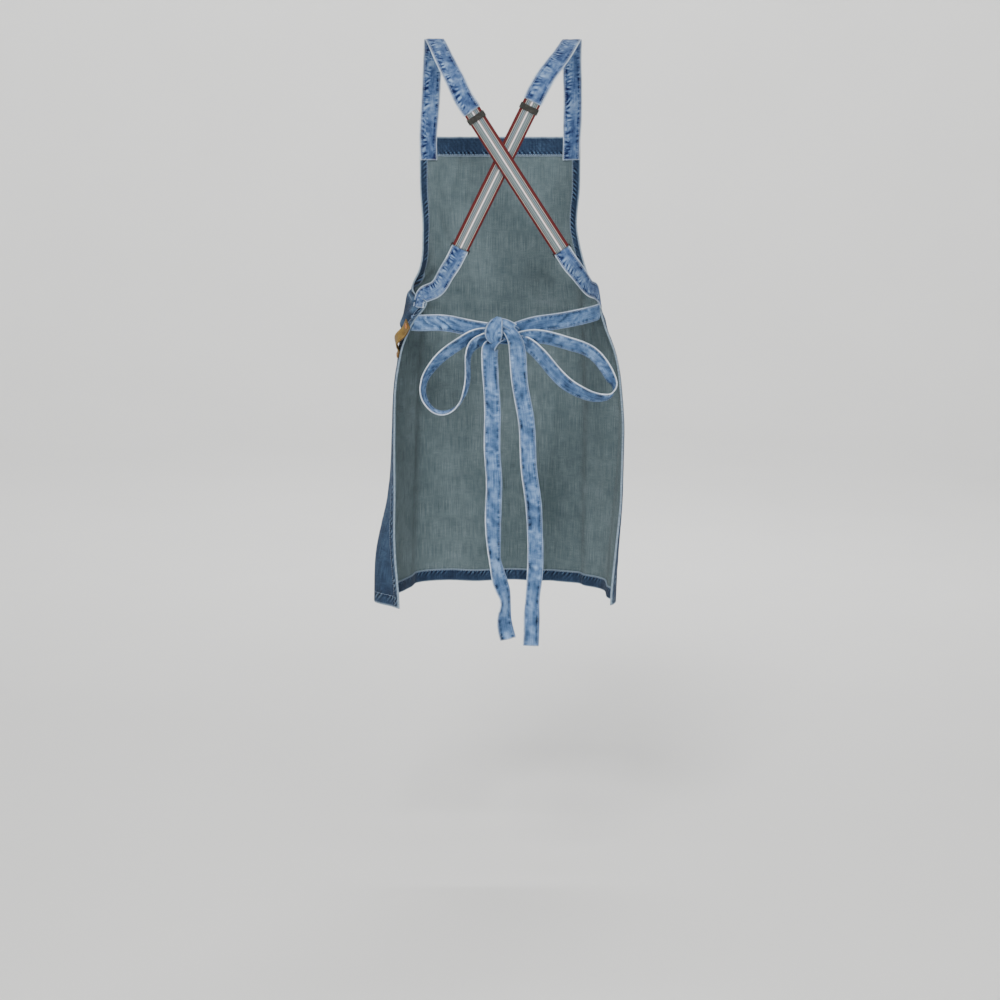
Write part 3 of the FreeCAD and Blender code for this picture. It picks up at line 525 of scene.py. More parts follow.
# How often the yarns and the frayed edge vary to the metre, across and along.
WARP_SCALE, WEFT_SCALE, FRAY_SCALE = (1150, 26, 1), (60, 900, 1), (700, 420, 1)


def linear(*srgb):
    """A colour as the eye names it, turned into the linear one that the shader takes."""
    return tuple(c / 12.92 if c <= 0.04045 else ((c + 0.055) / 1.055) ** 2.4 for c in srgb)


def denim(name, dark, middle, light, worn, streak=0.5, blotch=1.0, twill=0.35):
    """Twill denim: diagonal weave, slubby warp, washed blotches, worn pale edges, and colour raised on
    ridges and lowered in hollows, partly wash fading and partly painted highlight and painted shade.
    """
    g = Graph(name, linear(*middle))
    cloth = g.uv()
    fade_and_shade, edge = g.attribute("fade_and_shade"), g.attribute("edge")
    warp = g.noise(g.stretch(cloth, WARP_SCALE), 1.0, 2.0)
    weft = g.noise(g.stretch(cloth, WEFT_SCALE), 1.0, 1.0)
    wash = g.noise(cloth, 62, 4.0, 0.62)
    cloud = g.noise(cloth, 17, 3.0)
    grain = g.noise(cloth, 2300, 1.0)
    across, along, _ = g.split(cloth)
    over, up = (g.math("MULTIPLY", way, rate) for way, rate in zip((across, along), TWILL_RATES))
    rib = g.wave(g.math("ADD", over, up))

    value = 0.5
    shades = ((wash, 0.95 * blotch), (cloud, 0.7 * blotch), (warp, streak),
              (weft, streak * 0.35), (rib, twill * 0.35), (grain, 0.45))
    for source, weight in shades:
        value = g.vary(value, source, weight)
    # Lighter where the cloth stands out, darker in hollows and seams: partly real wash fading, partly
    # painted highlight and painted shade.
    value = g.math("MULTIPLY_ADD", fade_and_shade, 0.42, value)
    color = g.ramp(value, [(0.12, linear(*dark)), (0.5, linear(*middle)), (0.9, linear(*light))])
    frayed = g.noise(g.stretch(cloth, FRAY_SCALE), 1.0, 2.0)
    wear = g.math("MULTIPLY", edge, g.level(frayed, 0.25, 0.6, 0.45, 1.0), clamp=True)
    color = g.mix(wear, color, linear(*worn))

    thread = g.math("MULTIPLY_ADD", rib, 0.6, g.math("MULTIPLY", warp, 0.7))
    thread = g.math("MULTIPLY_ADD", grain, 0.3, thread)
    normal = g.bump(g.noise(cloth, 260, 3.0), 0.9 * MM, 0.35)
    normal = g.bump(thread, 0.32 * MM, 0.75, normal)
    rough = g.level(value, 0.0, 1.0, 0.92, 0.8)
    return g.finish(
        color, rough, normal, Sheen_Weight=0.05, Sheen_Roughness=0.4, Specular_IOR_Level=0.16
    )


def elastic_material():
    """Ribbed elastic tape: burgundy edges, cream and dark lines, grey bands, a pale middle."""
    burgundy, red = (0.27, 0.03, 0.05), (0.36, 0.05, 0.07)
    cream, slate = (0.72, 0.68, 0.64), (0.08, 0.13, 0.16)
    grey, teal = (0.47, 0.51, 0.52), (0.3, 0.37, 0.39)
    pale, brown = (0.92, 0.87, 0.88), (0.4, 0.32, 0.32)
    sand, steel = (0.62, 0.6, 0.55), (0.47, 0.53, 0.58)
    stripes = [
        (0.0, burgundy), (0.05, red), (0.09, burgundy), (0.12, cream), (0.148, slate),
        (0.175, teal), (0.21, grey), (0.245, teal), (0.29, grey), (0.36, teal), (0.4, grey),
        (0.452, pale), (0.525, sand), (0.55, brown), (0.578, grey), (0.64, teal), (0.69, steel),
        (0.735, teal), (0.762, slate), (0.796, cream), (0.832, burgundy), (0.89, red),
        (0.945, burgundy),
    ]
    g = Graph("striped_elastic", linear(*grey))
    across, along, _ = g.split(g.uv())
    share = g.math("DIVIDE", across, ELASTIC_WIDE * MM)
    wobble = g.noise(g.stretch(g.uv(), (300, 90, 1)), 1.0, 1.0)
    share = g.vary(share, wobble, 0.012)
    color = g.ramp(share, [(at, linear(*c)) for at, c in stripes], "CONSTANT")
    rib, cord = g.wave(along, RIB_RATE), g.wave(across, CORD_RATE)
    weave = g.math("MULTIPLY_ADD", rib, 0.6, g.math("MULTIPLY", cord, 0.5))
    grain = g.noise(g.uv(), 1500, 2.0)
    shade = g.math("MULTIPLY_ADD", weave, 0.3, 0.62)
    shade = g.math("MULTIPLY_ADD", grain, 0.35, shade, clamp=True)
    shade = g.ramp(shade, [(0.4, (0.45, 0.45, 0.45)), (1.0, (1.1, 1.1, 1.1))])
    color = g.mix(1.0, color, shade, "MULTIPLY")
    normal = g.bump(weave, 0.3 * MM, 0.7)
    return g.finish(color, 0.72, normal, Sheen_Weight=0.12, Specular_IOR_Level=0.3)


def thread_material(name, color):
    g = Graph(name, linear(*color))
    fibre = g.noise(g.place(), 2600, 2.0)
    dark = linear(*(c * 0.72 for c in color))
    light = linear(*(min(c * 1.15, 1) for c in color))
    return g.finish(g.mix(fibre, dark, light), 0.6, g.bump(fibre, 0.1 * MM, 0.6), Sheen_Weight=0.2)


def satin_black(name, color, wear):
    """Dark coated metal with fine grain and patches rubbed brighter."""
    g = Graph(name, linear(*color))
    fine = g.noise(g.place(), 900, 3.0)
    rubbed = g.level(g.noise(g.place(), 160, 4.0), 0.5, 0.72, 0.0, 0.7)
    shade = g.mix(rubbed, linear(*color), linear(*wear))
    rough = g.level(fine, 0.3, 0.7, 0.34, 0.5)
    return g.finish(shade, rough, g.bump(fine, 0.04 * MM, 0.5), Metallic=0.35)


def leather():
    """Waxed tan leather: pores, creases and darker burnished edges."""
    g = Graph("tan_leather", linear(0.52, 0.38, 0.16))
    pores = g.noise(g.place(), 950, 4.0, 0.65)
    cloud = g.noise(g.place(), 70, 3.0)
    value = g.math("MULTIPLY_ADD", pores, 0.45, g.math("MULTIPLY", cloud, 0.55))
    color = g.ramp(value, [
        (0.3, linear(0.27, 0.19, 0.07)), (0.5, linear(0.43, 0.33, 0.13)), (0.72, linear(0.6, 0.49, 0.23))
    ])
    color = g.mix(g.math("MULTIPLY", g.attribute("edge"), 0.5), color, linear(0.27, 0.16, 0.06))
    cells = g.nodes.new("ShaderNodeTexVoronoi")
    cells.inputs["Scale"].default_value = 1100
    g.put(cells.inputs["Vector"], g.place())
    normal = g.bump(cells.outputs["Distance"], 0.12 * MM, 0.5)
    normal = g.bump(cloud, 0.6 * MM, 0.3, normal)
    return g.finish(color, g.level(pores, 0.3, 0.7, 0.4, 0.62), normal, Specular_IOR_Level=0.45)


def brass():
    g = Graph("rivet_brass", linear(0.8, 0.55, 0.35))
    scuff = g.noise(g.place(), 700, 4.0)
    color = g.mix(g.level(scuff, 0.4, 0.7), linear(0.86, 0.58, 0.36), linear(0.5, 0.3, 0.18))
    rough = g.level(scuff, 0.3, 0.7, 0.24, 0.5)
    return g.finish(color, rough, g.bump(scuff, 0.05 * MM, 0.4), Metallic=1.0)


def floor_material():
    g = Graph("floor", (0.8, 0.8, 0.8))
    soft = g.noise(g.place(), 1.5, 3.0)
    return g.finish(g.mix(soft, linear(0.9, 0.9, 0.895), linear(0.93, 0.93, 0.925)), 0.75)


# In millimetres, because the elastic's stripes are shares of its width.
ELASTIC_WIDE = 27

OUTSIDE = denim("panel_denim", (0.04, 0.06, 0.13), (0.17, 0.24, 0.34), (0.37, 0.48, 0.6),
                (0.66, 0.74, 0.81), streak=0.6, blotch=0.38)
INSIDE = denim("panel_wrong_side", (0.22, 0.28, 0.3), (0.36, 0.42, 0.44), (0.52, 0.58, 0.6),
               (0.66, 0.72, 0.74), streak=0.75, blotch=0.35, twill=0.6)
STRAP = denim("strap_denim", (0.06, 0.1, 0.27), (0.3, 0.4, 0.57), (0.57, 0.68, 0.81), (0.86, 0.91, 0.96),
              streak=0.45, blotch=0.95)
TIE = denim("tie_denim", (0.06, 0.11, 0.2), (0.32, 0.44, 0.61), (0.61, 0.75, 0.93), (0.91, 0.95, 1.0),
            streak=0.5, blotch=0.5)
ELASTIC = elastic_material()
THREAD = thread_material("denim_thread", (0.62, 0.7, 0.8))
TAN_THREAD = thread_material("tan_thread", (0.8, 0.68, 0.42))
SLIDE_METAL = satin_black("slide_black", (0.14, 0.14, 0.13), (0.27, 0.27, 0.25))
RING_METAL = satin_black("ring_black", (0.07, 0.07, 0.07), (0.25, 0.25, 0.24))
BRASS = brass()
# The cloth that a band in each slot is made of.
BAND_CLOTH = {"strap_denim": STRAP, "tie_denim": TIE, "striped_elastic": ELASTIC,
              "tan_leather": leather()}

# ---------------------------------------------------------------- the worn surface
# Level, half widths left and right, centre, depth, and wrap angles to both edges. Millimetres
# and degrees.
STATIONS = rows_of(
    (-150, 176, 176, 55, 70, 50, 50),
    (-230, 168, 168, 30, 92, 53, 53),
    (-310, 150, 154, 12, 106, 60, 58),
    (-370, 141, 154, 4, 112, 74, 70),
    (-398, 146, 159, 1, 115, 100, 86),
    (-415, 150, 163, 0, 116, 128, 99),
    (-453, 157, 173, 0, 118, 114, 97),
    (-507, 168, 193, 0, 123, 101, 97),
    (-560, 177, 202, 0, 128, 102, 98),
    (-640, 180, 208, 0, 136, 103, 101),
    (-740, 185, 208, 0, 143, 109, 104),
    (-830, 197, 203, 0, 148, 118, 108),
    (-920, 200, 200, 0, 150, 123, 112),
)
BIB_TOP, CORNER, WAIST, TIE_LINE, HEM = -150, -415, -440, -453, -920
DENIM = 1.0 * MM
HEM_THICK, HEM_GAP = 1.6 * MM, 0.1 * MM
SIDE_HEM, BOTTOM_HEM, BIB_HEM = 14, 20, 32
ROPE_PITCH = 7.2
FLUTE_DEPTH, FLUTE_PITCH = 7, 165
# How far behind the panel's middle plane something sewn on its hem lies, in millimetres.
BEHIND_HEM = -(DENIM / 2 + HEM_GAP + HEM_THICK) / MM - 0.1
# The same for something that lies on the panel's outside.
ON_PANEL = DENIM / MM / 2


def hermite(column, level):
    """A smooth curve through one column of the stations, level where it turns back."""
    knots, values = STATIONS[:, 0], STATIONS[:, column]
    if level >= knots[0]:
        return values[0]
    if level <= knots[-1]:
        return values[-1]
    i = int(np.argmax(level >= knots[1:]))
    slopes = []
    for k in (i, i + 1):
        before, after = max(k - 1, 0), min(k + 1, len(knots) - 1)
        rise = (values[after] - values[before]) / (knots[after] - knots[before])
        turned = (values[k] - values[before]) * (values[after] - values[k]) <= 0
        slopes.append(0.0 if turned else rise)
    span = knots[i + 1] - knots[i]
    t = (level - knots[i]) / span
    return (
        values[i] * (2 * t**3 - 3 * t**2 + 1)
        + slopes[0] * span * (t**3 - 2 * t**2 + t)
        + values[i + 1] * (3 * t**2 - 2 * t**3)
        + slopes[1] * span * (t**3 - t**2)
    )


class Section:
    """The cloth's line at one level, in millimetres along it from the front centre."""

    def __init__(self, level):
        self.level = level
        self.left, self.right, self.centre, self.depth = (hermite(c, level) for c in (1, 2, 3, 4))
        low, high = -hermite(5, level), hermite(6, level)
        self.angles = np.linspace(low, high, 241)
        line = self.plain(self.angles)
        marks = distances(line)
        self.marks = marks - np.interp(0.0, self.angles, marks)

    def plain(self, angles):
        turn = np.radians(angles)
        half = np.where(turn < 0, self.left, self.right)
        return np.stack([half * np.sin(turn), self.centre + self.depth * np.cos(turn)], axis=-1)

    def edge(self, side):
        return self.marks[0] if side < 0 else self.marks[-1]

    def angle(self, along):
        return np.interp(along, self.marks, self.angles)

    def outward(self, along):
        angle = self.angle(along)
        run = self.plain(angle + 0.5) - self.plain(angle - 0.5)
        flat = unit(np.stack([-run[..., 1], run[..., 0]], axis=-1))
        return np.concatenate([flat, np.zeros(flat.shape[:-1] + (1,))], axis=-1)

    def flute(self, along):
        fall = min(max((TIE_LINE - self.level) / (TIE_LINE - HEM), 0), 1) ** 1.3
        reach = np.minimum(along - self.edge(-1), self.edge(1) - along) / 60
        wave = np.sin(2 * math.pi * along / FLUTE_PITCH + 0.6)
        return FLUTE_DEPTH * fall * np.clip(reach, 0, 1) * wave

    def point(self, along, proud=0.0):
        """Points of the cloth's middle plane, in millimetres, or standing proud of it."""
        along = np.asarray(along, float)
        place = self.plain(self.angle(along))
        level = np.full(place.shape[:-1] + (1,), float(self.level))
        out = self.outward(along) * (np.asarray(proud) + self.flute(along))[..., None]
        return np.concatenate([place, level], axis=-1) + out

    def seat(self, along, proud):
        """A place on the cloth and the way it faces there."""
        return self.point(along, proud), self.outward(along)


# Where the straps and ties pull on the side edges: side, level, depth and reach of the creases.
PULLS = [(-1, -415, 2.6, 120), (-1, -450, 2.4, 130), (1, -411, 2.6, 120), (1, -436, 2.4, 130)]


def drape(along, level, left, right):
    """Soft creases of the worn panel, in millimetres, added to its smooth shape."""
    skirt = smoothstep(-440, -900, level)
    lift = 1.7 * ripple(along, level * 0.35, 95, 70, 11) * (0.5 + 0.7 * skirt)
    lift = lift + 0.8 * ripple(along + level * 0.3, level * 0.4, 38, 60, 12)
    lift = lift + 0.25 * ripple(along, level, 14, 17, 13)
    waist = bell(level, 34, WAIST)
    lift = lift + 1.5 * waist * ripple(along * 0.45, level + along * 0.12, 40, 13, 14)
    for number, (side, height, depth, reach) in enumerate(PULLS):
        anchor = left if side < 0 else right
        over, up = along - anchor, level - height
        distance = np.hypot(over, up) + 1e-6
        turn = np.arctan2(up, over * -side)
        uneven = 0.6 * ripple(distance, turn * 30, 40, 10, 20 + number)
        fan = np.sin(turn * 7.5 + number * 2.1 + uneven)
        lift = lift + depth * fan * np.exp(-distance / reach) * smoothstep(6, 34, distance)
    return lift


def panel_levels(step=4.2):
    levels = [float(BIB_TOP)]
    while levels[-1] > HEM + step:
        near = abs(levels[-1] - CORNER) < 30
        levels.append(levels[-1] - (step / 2 if near else step))
    levels.append(float(HEM))
    return np.array(levels)


# The hanging: frames, share of gravity, the most a fold may move, and the rows and columns to
# each side that count as broad. A shrink below zero is spare cloth.
HANG_FRAMES, HANG_GRAVITY, HANG_LIMIT, HANG_REACH = 32, 0.5, 9 * MM, 14
HANG_CLOTH = {
    "quality": 7, "mass": 0.4, "tension_stiffness": 40, "compression_stiffness": 40,
    "shear_stiffness": 40, "bending_stiffness": 2, "shrink_min": -0.05,
}


def hang(rest, pinned):
    """The panel after it has hung for a moment as slightly slack cloth from its pinned places."""
    rows, columns = rest.shape[:2]
    index = np.arange(rows * columns).reshape(rows, columns)
    corners = (index[:-1, :-1], index[:-1, 1:], index[1:, 1:], index[1:, :-1])
    faces = np.stack(corners, axis=-1).reshape(-1, 4)
    piece = link_mesh("hanging_panel", rest.reshape(-1, 3), faces.tolist(), [])
    group = piece.vertex_groups.new(name="pinned")
    group.add([int(i) for i in np.flatnonzero(pinned.ravel())], 1.0, "REPLACE")
    cloth = piece.modifiers.new("cloth", "CLOTH")
    cloth.settings.vertex_group_mass = "pinned"
    for setting, value in HANG_CLOTH.items():
        setattr(cloth.settings, setting, value)
    cloth.settings.effector_weights.gravity = HANG_GRAVITY
    cloth.collision_settings.use_collision = False
    cloth.point_cache.frame_start, cloth.point_cache.frame_end = 1, HANG_FRAMES
    scene = bpy.context.scene
    for number in range(1, HANG_FRAMES + 1):
        scene.frame_set(number)
    shape = piece.evaluated_get(bpy.context.evaluated_depsgraph_get()).to_mesh()
    hung = np.zeros(rows * columns * 3)
    shape.vertices.foreach_get("co", hung)
    bpy.data.objects.remove(piece, do_unlink=True)
    scene.frame_set(1)
    return hung.reshape(rows, columns, 3)


def broad(values, reach):
    """The slow part of a grid of numbers: its average over a wide patch."""
    kernel = np.ones(2 * reach + 1) / (2 * reach + 1)

    def average(line):
        return np.convolve(np.pad(line, reach, mode="edge"), kernel, mode="valid")

    for axis in (0, 1):
        values = np.apply_along_axis(average, axis, values)
    return values


def spread(values, rows, columns):
    """A grid of numbers made finer, smoothly, to the sizes given."""
    across = np.linspace(0, values.shape[1] - 1, columns)
    wide = np.array([np.interp(across, np.arange(values.shape[1]), line) for line in values])
    down = np.linspace(0, values.shape[0] - 1, rows)
    tall = np.array([np.interp(down, np.arange(values.shape[0]), line) for line in wide.T]).T
    for _ in range(2):
        middle = tall[1:-1, 1:-1] * 0.5
        around = tall[:-2, 1:-1] + tall[2:, 1:-1] + tall[1:-1, :-2] + tall[1:-1, 2:]
        tall[1:-1, 1:-1] = middle + around * 0.125
    return tall


class Panel:
    """The whole panel as a grid, with its roped hems and creases."""

    def __init__(self, columns=176):
        self.levels = panel_levels()
        share = np.linspace(0, 1, columns)
        grids = []
        for level in self.levels:
            section = Section(level)
            along = section.edge(-1) + (section.edge(1) - section.edge(-1)) * share
            grids.append((along, *section.seat(along, 0.0)))
        self.along, smooth, outward = (np.array(grid) for grid in zip(*grids))
        level = self.levels[:, None] + 0 * self.along
        left, right = self.along[:, :1], self.along[:, -1:]
        side = np.minimum(self.along - left, right - self.along)
        low, high = level - HEM, BIB_TOP - level
        rope = self.roping(side, level, SIDE_HEM)
        rope = rope + self.roping(low, self.along, BOTTOM_HEM)
        self.rope = rope + self.roping(high, self.along, BIB_HEM - 2)
        soft = drape(self.along, level, left, right)
        soft = soft * smoothstep(0, 20, high) * smoothstep(-2, 22, side)
        self.lift = soft + self.rope
        hanging = (smooth + outward * (self.lift - self.rope)[..., None]) * MM
        settled = self.settle(hanging, outward, level, side)
        standing = (smooth + outward * self.lift[..., None]) * MM
        self.middle = standing + outward * settled[..., None]
        self.normal = grid_normals(self.middle, outward)
        self.rim = np.minimum(np.minimum(side, low), high)
        self.uv = np.stack([self.along * MM, level * MM], axis=-1)

    def settle(self, rest, outward, level, side):
        """The folds of the simulated cloth, without the swing of the whole skirt under the body."""
        rough = (slice(None, None, 2), slice(None, None, 2))
        held = (level > BIB_TOP - 6) | ((side < 16) & (np.abs(level - CORNER + 18) < 34))
        held = held | ((side < 9) & (level > CORNER))
        hung = hang(rest[rough], held[rough])
        swing = ((hung - rest[rough]) * outward[rough]).sum(-1)
        folds = swing - broad(swing, HANG_REACH)
        folds = HANG_LIMIT * np.tanh(folds / HANG_LIMIT)
        return spread(folds, *level.shape) * smoothstep(14, 70, side)

    def roping(self, inside, along, width):
        """The diagonal puckers of a stitched hem that has shrunk in the wash."""
        zone = smoothstep(-1, 2, inside) * (1 - smoothstep(width - 2, width + 4, inside))
        row = bell(inside - width, 1.6, -2)
        near = bell(inside - width, 4.5, -5)
        uneven = 1.2 * ripple(along, inside, 22, 40, 31)
        wave = np.sin(2 * math.pi * (along + inside * 0.8) / ROPE_PITCH + uneven)
        broken = 0.65 + 0.7 * ripple(along, inside, 9, 9, 32)
        return zone * (0.04 + 0.4 * near * broken) * wave - 0.3 * row

    def make(self):
        # Colour follows the relief: lighter on the roping's ridges and raised folds, darker in their
        # hollows, partly real wash fading and partly painted highlight and painted shade. The roping's
        # ridges are also paled like worn edges, partly real wear and partly painted highlight.
        fade_and_shade = np.clip(self.rope * 2.6 + self.lift * 0.12, -1.6, 1)
        edge = 0.85 * bell(self.rim, 1.6) + 0.25 * np.clip(self.rope * 2.2, 0, 1)
        piece = thin_cloth("apron_cloth", self.middle, self.normal, DENIM, self.uv, fade_and_shade,
                           np.clip(edge, 0, 1), [OUTSIDE, INSIDE])
        return finish_piece(piece, "apron", "panel_denim", "apron_panel")

    def line(self, along, level, proud):
        """Places and normals on the panel's surface, proud of its middle, in metres."""
        i = np.interp(-np.asarray(level, float), -self.levels, np.arange(len(self.levels)))
        places, normals = [], []
        for row, s in zip(i, along):
            k = min(int(row), len(self.levels) - 2)
            t = row - k
            both = []
            for r in (k, k + 1):
                c = np.interp(s, self.along[r], np.arange(self.along.shape[1]))
                m = min(int(c), self.along.shape[1] - 2)
                f = c - m
                both.append((
                    self.middle[r, m] * (1 - f) + self.middle[r, m + 1] * f,
                    self.normal[r, m] * (1 - f) + self.normal[r, m + 1] * f,
                ))
            places.append(both[0][0] * (1 - t) + both[1][0] * t)
            normals.append(both[0][1] * (1 - t) + both[1][1] * t)
        normals = unit(normals)
        return np.array(places) + normals * proud, normals


def surface_strip(panel, node, ending, along, level, proud, thick, materials, fade_and_shade, edge):
    """A sheet that follows the panel: grids of along, level and proud in millimetres."""
    places, normals = panel.line(along.ravel(), level.ravel(), 0)
    middle = (places + normals * proud.reshape(-1, 1) * MM).reshape(*along.shape, 3)
    normal = grid_normals(middle, normals.reshape(*along.shape, 3))
    uv = np.stack([along * MM, level * MM], axis=-1)
    piece = thin_cloth(node + ending, middle, normal, thick, uv, fade_and_shade, edge, materials)
    return finish_piece(piece, "apron", "panel_denim", node), middle, normal


def hem_proud(run, inside, width, seed):
    """A folded hem on the wrong side: middle plane, with its diagonal puckers."""
    base = -(DENIM / 2 + HEM_GAP + HEM_THICK / 2) / MM
    uneven = ripple(run, inside, 22, 40, seed)
    wave = np.sin(2 * math.pi * (run - inside * 0.8) / ROPE_PITCH + uneven)
    flat = smoothstep(0, 3, inside) * smoothstep(0, 3, width - inside)
    broken = 0.6 + 0.8 * ripple(run, inside, 9, 8, seed + 5)
    return base + 0.12 * wave * flat * broken


def hem_fade_and_shade(proud, inside, width):
    """Darker hollows between the puckers, darkest beside the seam: partly the wash's real navy and
    partly painted shade.
    """
    near = bell(inside - width, 3.8, -4.5)
    return np.clip((proud - proud.mean()) * 10, -1, 1) * (0.12 + 1.2 * near) - 0.2


# Side and the levels where each side's hem starts and ends.
SIDE_HEMS = {
    "armhole_hem_left": (-1, BIB_TOP, CORNER + 2),
    "side_hem_left": (-1, CORNER - 2, HEM),
    "armhole_hem_right": (1, BIB_TOP, CORNER + 2),
    "side_hem_right": (1, CORNER - 2, HEM),
}
# The level of each level hem's fold, the way it goes from there, and its width.
LEVEL_HEMS = {"bib_top_hem": (BIB_TOP, -1, BIB_HEM), "bottom_hem": (HEM, 1, BOTTOM_HEM)}


def fold_hem(panel, thread, name, along, level, run, inside, width, seed, seam):
    """One hem, with stitches that show on both sides of the cloth along its seam."""
    proud = hem_proud(run, inside, width, seed)
    edge = 0.7 * bell(np.minimum(inside, width - inside), 1.0)
    piece, middle, normal = surface_strip(
        panel, name, "_fold", along, level, proud, HEM_THICK * 0.92, [OUTSIDE],
        hem_fade_and_shade(proud, inside, width), edge
    )
    places, normals = panel.line(along[seam], level[seam], DENIM / 2)
    thread.row(places, normals, radius=HEM_STITCH)
    thread.row(middle[seam] - normal[seam] * HEM_THICK * 0.46, -normal[seam], radius=HEM_STITCH)
    return piece


def make_hems(panel, thread):
    """Every folded hem, on the wrong side of the panel, with its row of stitches."""
    pieces = []
    for number, (name, (side, high, low)) in enumerate(SIDE_HEMS.items()):
        levels = np.linspace(high, low, int((high - low) / 2.2))
        edge_line = np.array([Section(value).edge(side) for value in levels])
        slant = np.sqrt(1 + np.gradient(edge_line, levels) ** 2)
        inside = np.linspace(0, SIDE_HEM, 9)[None] + 0 * levels[:, None]
        along = edge_line[:, None] - side * inside * np.minimum(slant, 3.0)[:, None]
        level = levels[:, None] + 0 * inside
        pieces.append(fold_hem(panel, thread, name, along, level, level, inside, SIDE_HEM,
                               41 + number, (slice(None), -2)))
    for number, (name, (start, way, width)) in enumerate(LEVEL_HEMS.items()):
        inside = np.linspace(0, width, 12)
        levels = start + way * inside
        sections = [Section(value) for value in levels]
        along = np.array([
            np.linspace(s.edge(-1) + SIDE_HEM + 1, s.edge(1) - SIDE_HEM - 1, 320) for s in sections
        ])
        level, inside = levels[:, None] + 0 * along, inside[:, None] + 0 * along
        pieces.append(fold_hem(panel, thread, name, along, level, along, inside, width,
                               51 + number, -2))
    return pieces


# ---------------------------------------------------------------- pockets
# Left, right, top and bottom edges, and how far the mouth stands open.
POCKETS = {
    "chest_pocket": (-70, 70, -205, -335, 13),
    "hand_pocket_left": (-172, -12, -500, -690, 18),
    "hand_pocket_right": (12, 172, -500, -690, 18),
}
# How far in the two rows of stitches are, and how far down the mouth's hem ends.
POCKET_ROWS, MOUTH_HEM = (3, 9), 15
RIVET_INSET, RIVET_DROP = 9, 7


def pocket_proud(across, down, bulge):
    """The patch's middle plane, which gapes most at the middle of its mouth."""
    gape = bulge * np.sin(math.pi * np.clip(across, 0, 1)) ** 0.8 * (1 - down) ** 0.7
    return DENIM / MM + 0.1 + gape


def make_pockets(panel, thread):
    """Patch pockets with a hemmed mouth and two rows of stitches. The rivets' seats are returned."""
    rivets = []
    down, across = np.linspace(0, 1, 76), np.linspace(0, 1, 72)
    last_row, last_column = len(down) - 1, len(across) - 1
    for number, (name, (first, last, top, bottom, bulge)) in enumerate(POCKETS.items()):
        wide, tall = last - first, top - bottom
        along = first + wide * across[None] + 0 * down[:, None]
        level = top + (bottom - top) * down[:, None] + 0 * across[None]
        low, high = level - bottom, top - level
        rim = np.minimum(np.minimum(along - first, last - along), low)
        crumple = 1.1 * ripple(along, level, 34, 46, 61 + number)
        crumple = crumple + 0.4 * ripple(along, level, 12, 14, 71)
        rope = 0.22 * np.sin(2 * math.pi * (along + level * 0.8) / 6.5) * (1 - smoothstep(14, 18, high))
        # Painted shade along the outer row of stitches and the mouth hem's seam; the colour also rises
        # on the roping and raised crumples and falls in their hollows, partly real wash fading and
        # partly painted highlight and painted shade.
        seam_shade = 0.3 * bell(rim, 1.2, 3) + 0.3 * bell(high, 1.2, MOUTH_HEM)
        proud = pocket_proud(across[None], down[:, None], bulge)
        proud = proud + crumple * smoothstep(6, 30, rim) * smoothstep(0, 10, high + 4) * 0.8 + 0.25
        proud = proud + rope * 0.6
        fade_and_shade = np.clip(rope * 2.5 + crumple * 0.25 - seam_shade * 0.8, -1, 1)
        edge = np.clip(0.7 * bell(np.minimum(rim, high), 1.1), 0, 1)
        piece, middle, normal = surface_strip(
            panel, name, "_patch", along, level, proud, DENIM * 1.05, [OUTSIDE, INSIDE], fade_and_shade, edge
        )
        seams = []
        for inset in POCKET_ROWS:
            c = np.searchsorted(along[0], first + inset)
            r = last_row - int(round(inset / tall * last_row))
            o = last_column - c
            seams += [(slice(r + 1), c), (slice(r + 1), o), (r, slice(c, o + 1))]
        seams.append((int(round(MOUTH_HEM / tall * last_row)), slice(None)))
        for seam in seams:
            thread.row(middle[seam] + normal[seam] * (DENIM * 0.52), normal[seam])
        for inset in (RIVET_INSET, wide - RIVET_INSET):
            seat = int(RIVET_DROP / tall * last_row), int(inset / wide * last_column)
            rivets.append((middle[seat], normal[seat]))
    return rivets


# ---------------------------------------------------------------- straps
# Routes are in millimetres, and run down from the front over the shoulder or away from a seam.
SHOULDER_ROUTES = {
    "left": [(-117, 104, -100), (-113, 84, -45), (-109, 42, -6), (-106, 0, 3),
             (-97, -42, -13), (-83, -82, -42), (-66.5, -108, -74)],
    "right": [(122, 104, -100), (120, 84, -45), (118, 42, -6), (116, 0, 2),
              (106, -42, -13), (91, -82, -35), (71, -105, -62)],
}
SHOULDER_NORMALS = [(0, 1, 0.08), (0, 0.75, 0.66), (0, 0.35, 0.94), (0, -0.1, 0.99),
                    (0, -0.45, 0.89), (0, -0.74, 0.67), (0, -0.94, 0.34)]
ELASTIC_ENDS = {
    "left": rows_of((-43.8, -117, -114.3), (96.8, -108, -328.4)),
    "right": rows_of((51, -112, -99.3), (-62.1, -104, -325.3)),
}
TAB_ROUTES = {
    "left": [(124.8, -89, -367), (144, -60, -392)],
    "right": [(-86.4, -90, -368.7), (-104, -76, -394)],
}
TAB_NORMALS = {
    "left": [(0.35, -0.93, 0), (0.75, -0.65, 0)],
    "right": [(-0.3, -0.95, 0), (-0.5, -0.85, 0)],
}
SIGN = {"left": -1, "right": 1}
STRAP_WIDE, STRAP_THICK, STRAP_OVERLAP, STRAP_ALONG = 30, 1.8, 22, 124
ELASTIC_THICK, ELASTIC_INSET, RETURN_STUB = 1.2, 20, 9
SLIDE_AT, SLIDE_BAR, SLIDE_BAR_THICK, RETURN_DEPTH, FOLD_TAIL = 12.5, 4, 1.6, 1.0, 12
RING_WIRE, RING_HOLE = 2.0, 3.4
RING_TURN = (RING_WIRE + ELASTIC_THICK) / 2 + 0.05
TAB_WIDE, TAB_THICK, TAB_TAIL, TAB_GAP = 27, 1.4, 16, 0.4
TAB_CORNER_STEPS = ((6, 2), (-9, 14))


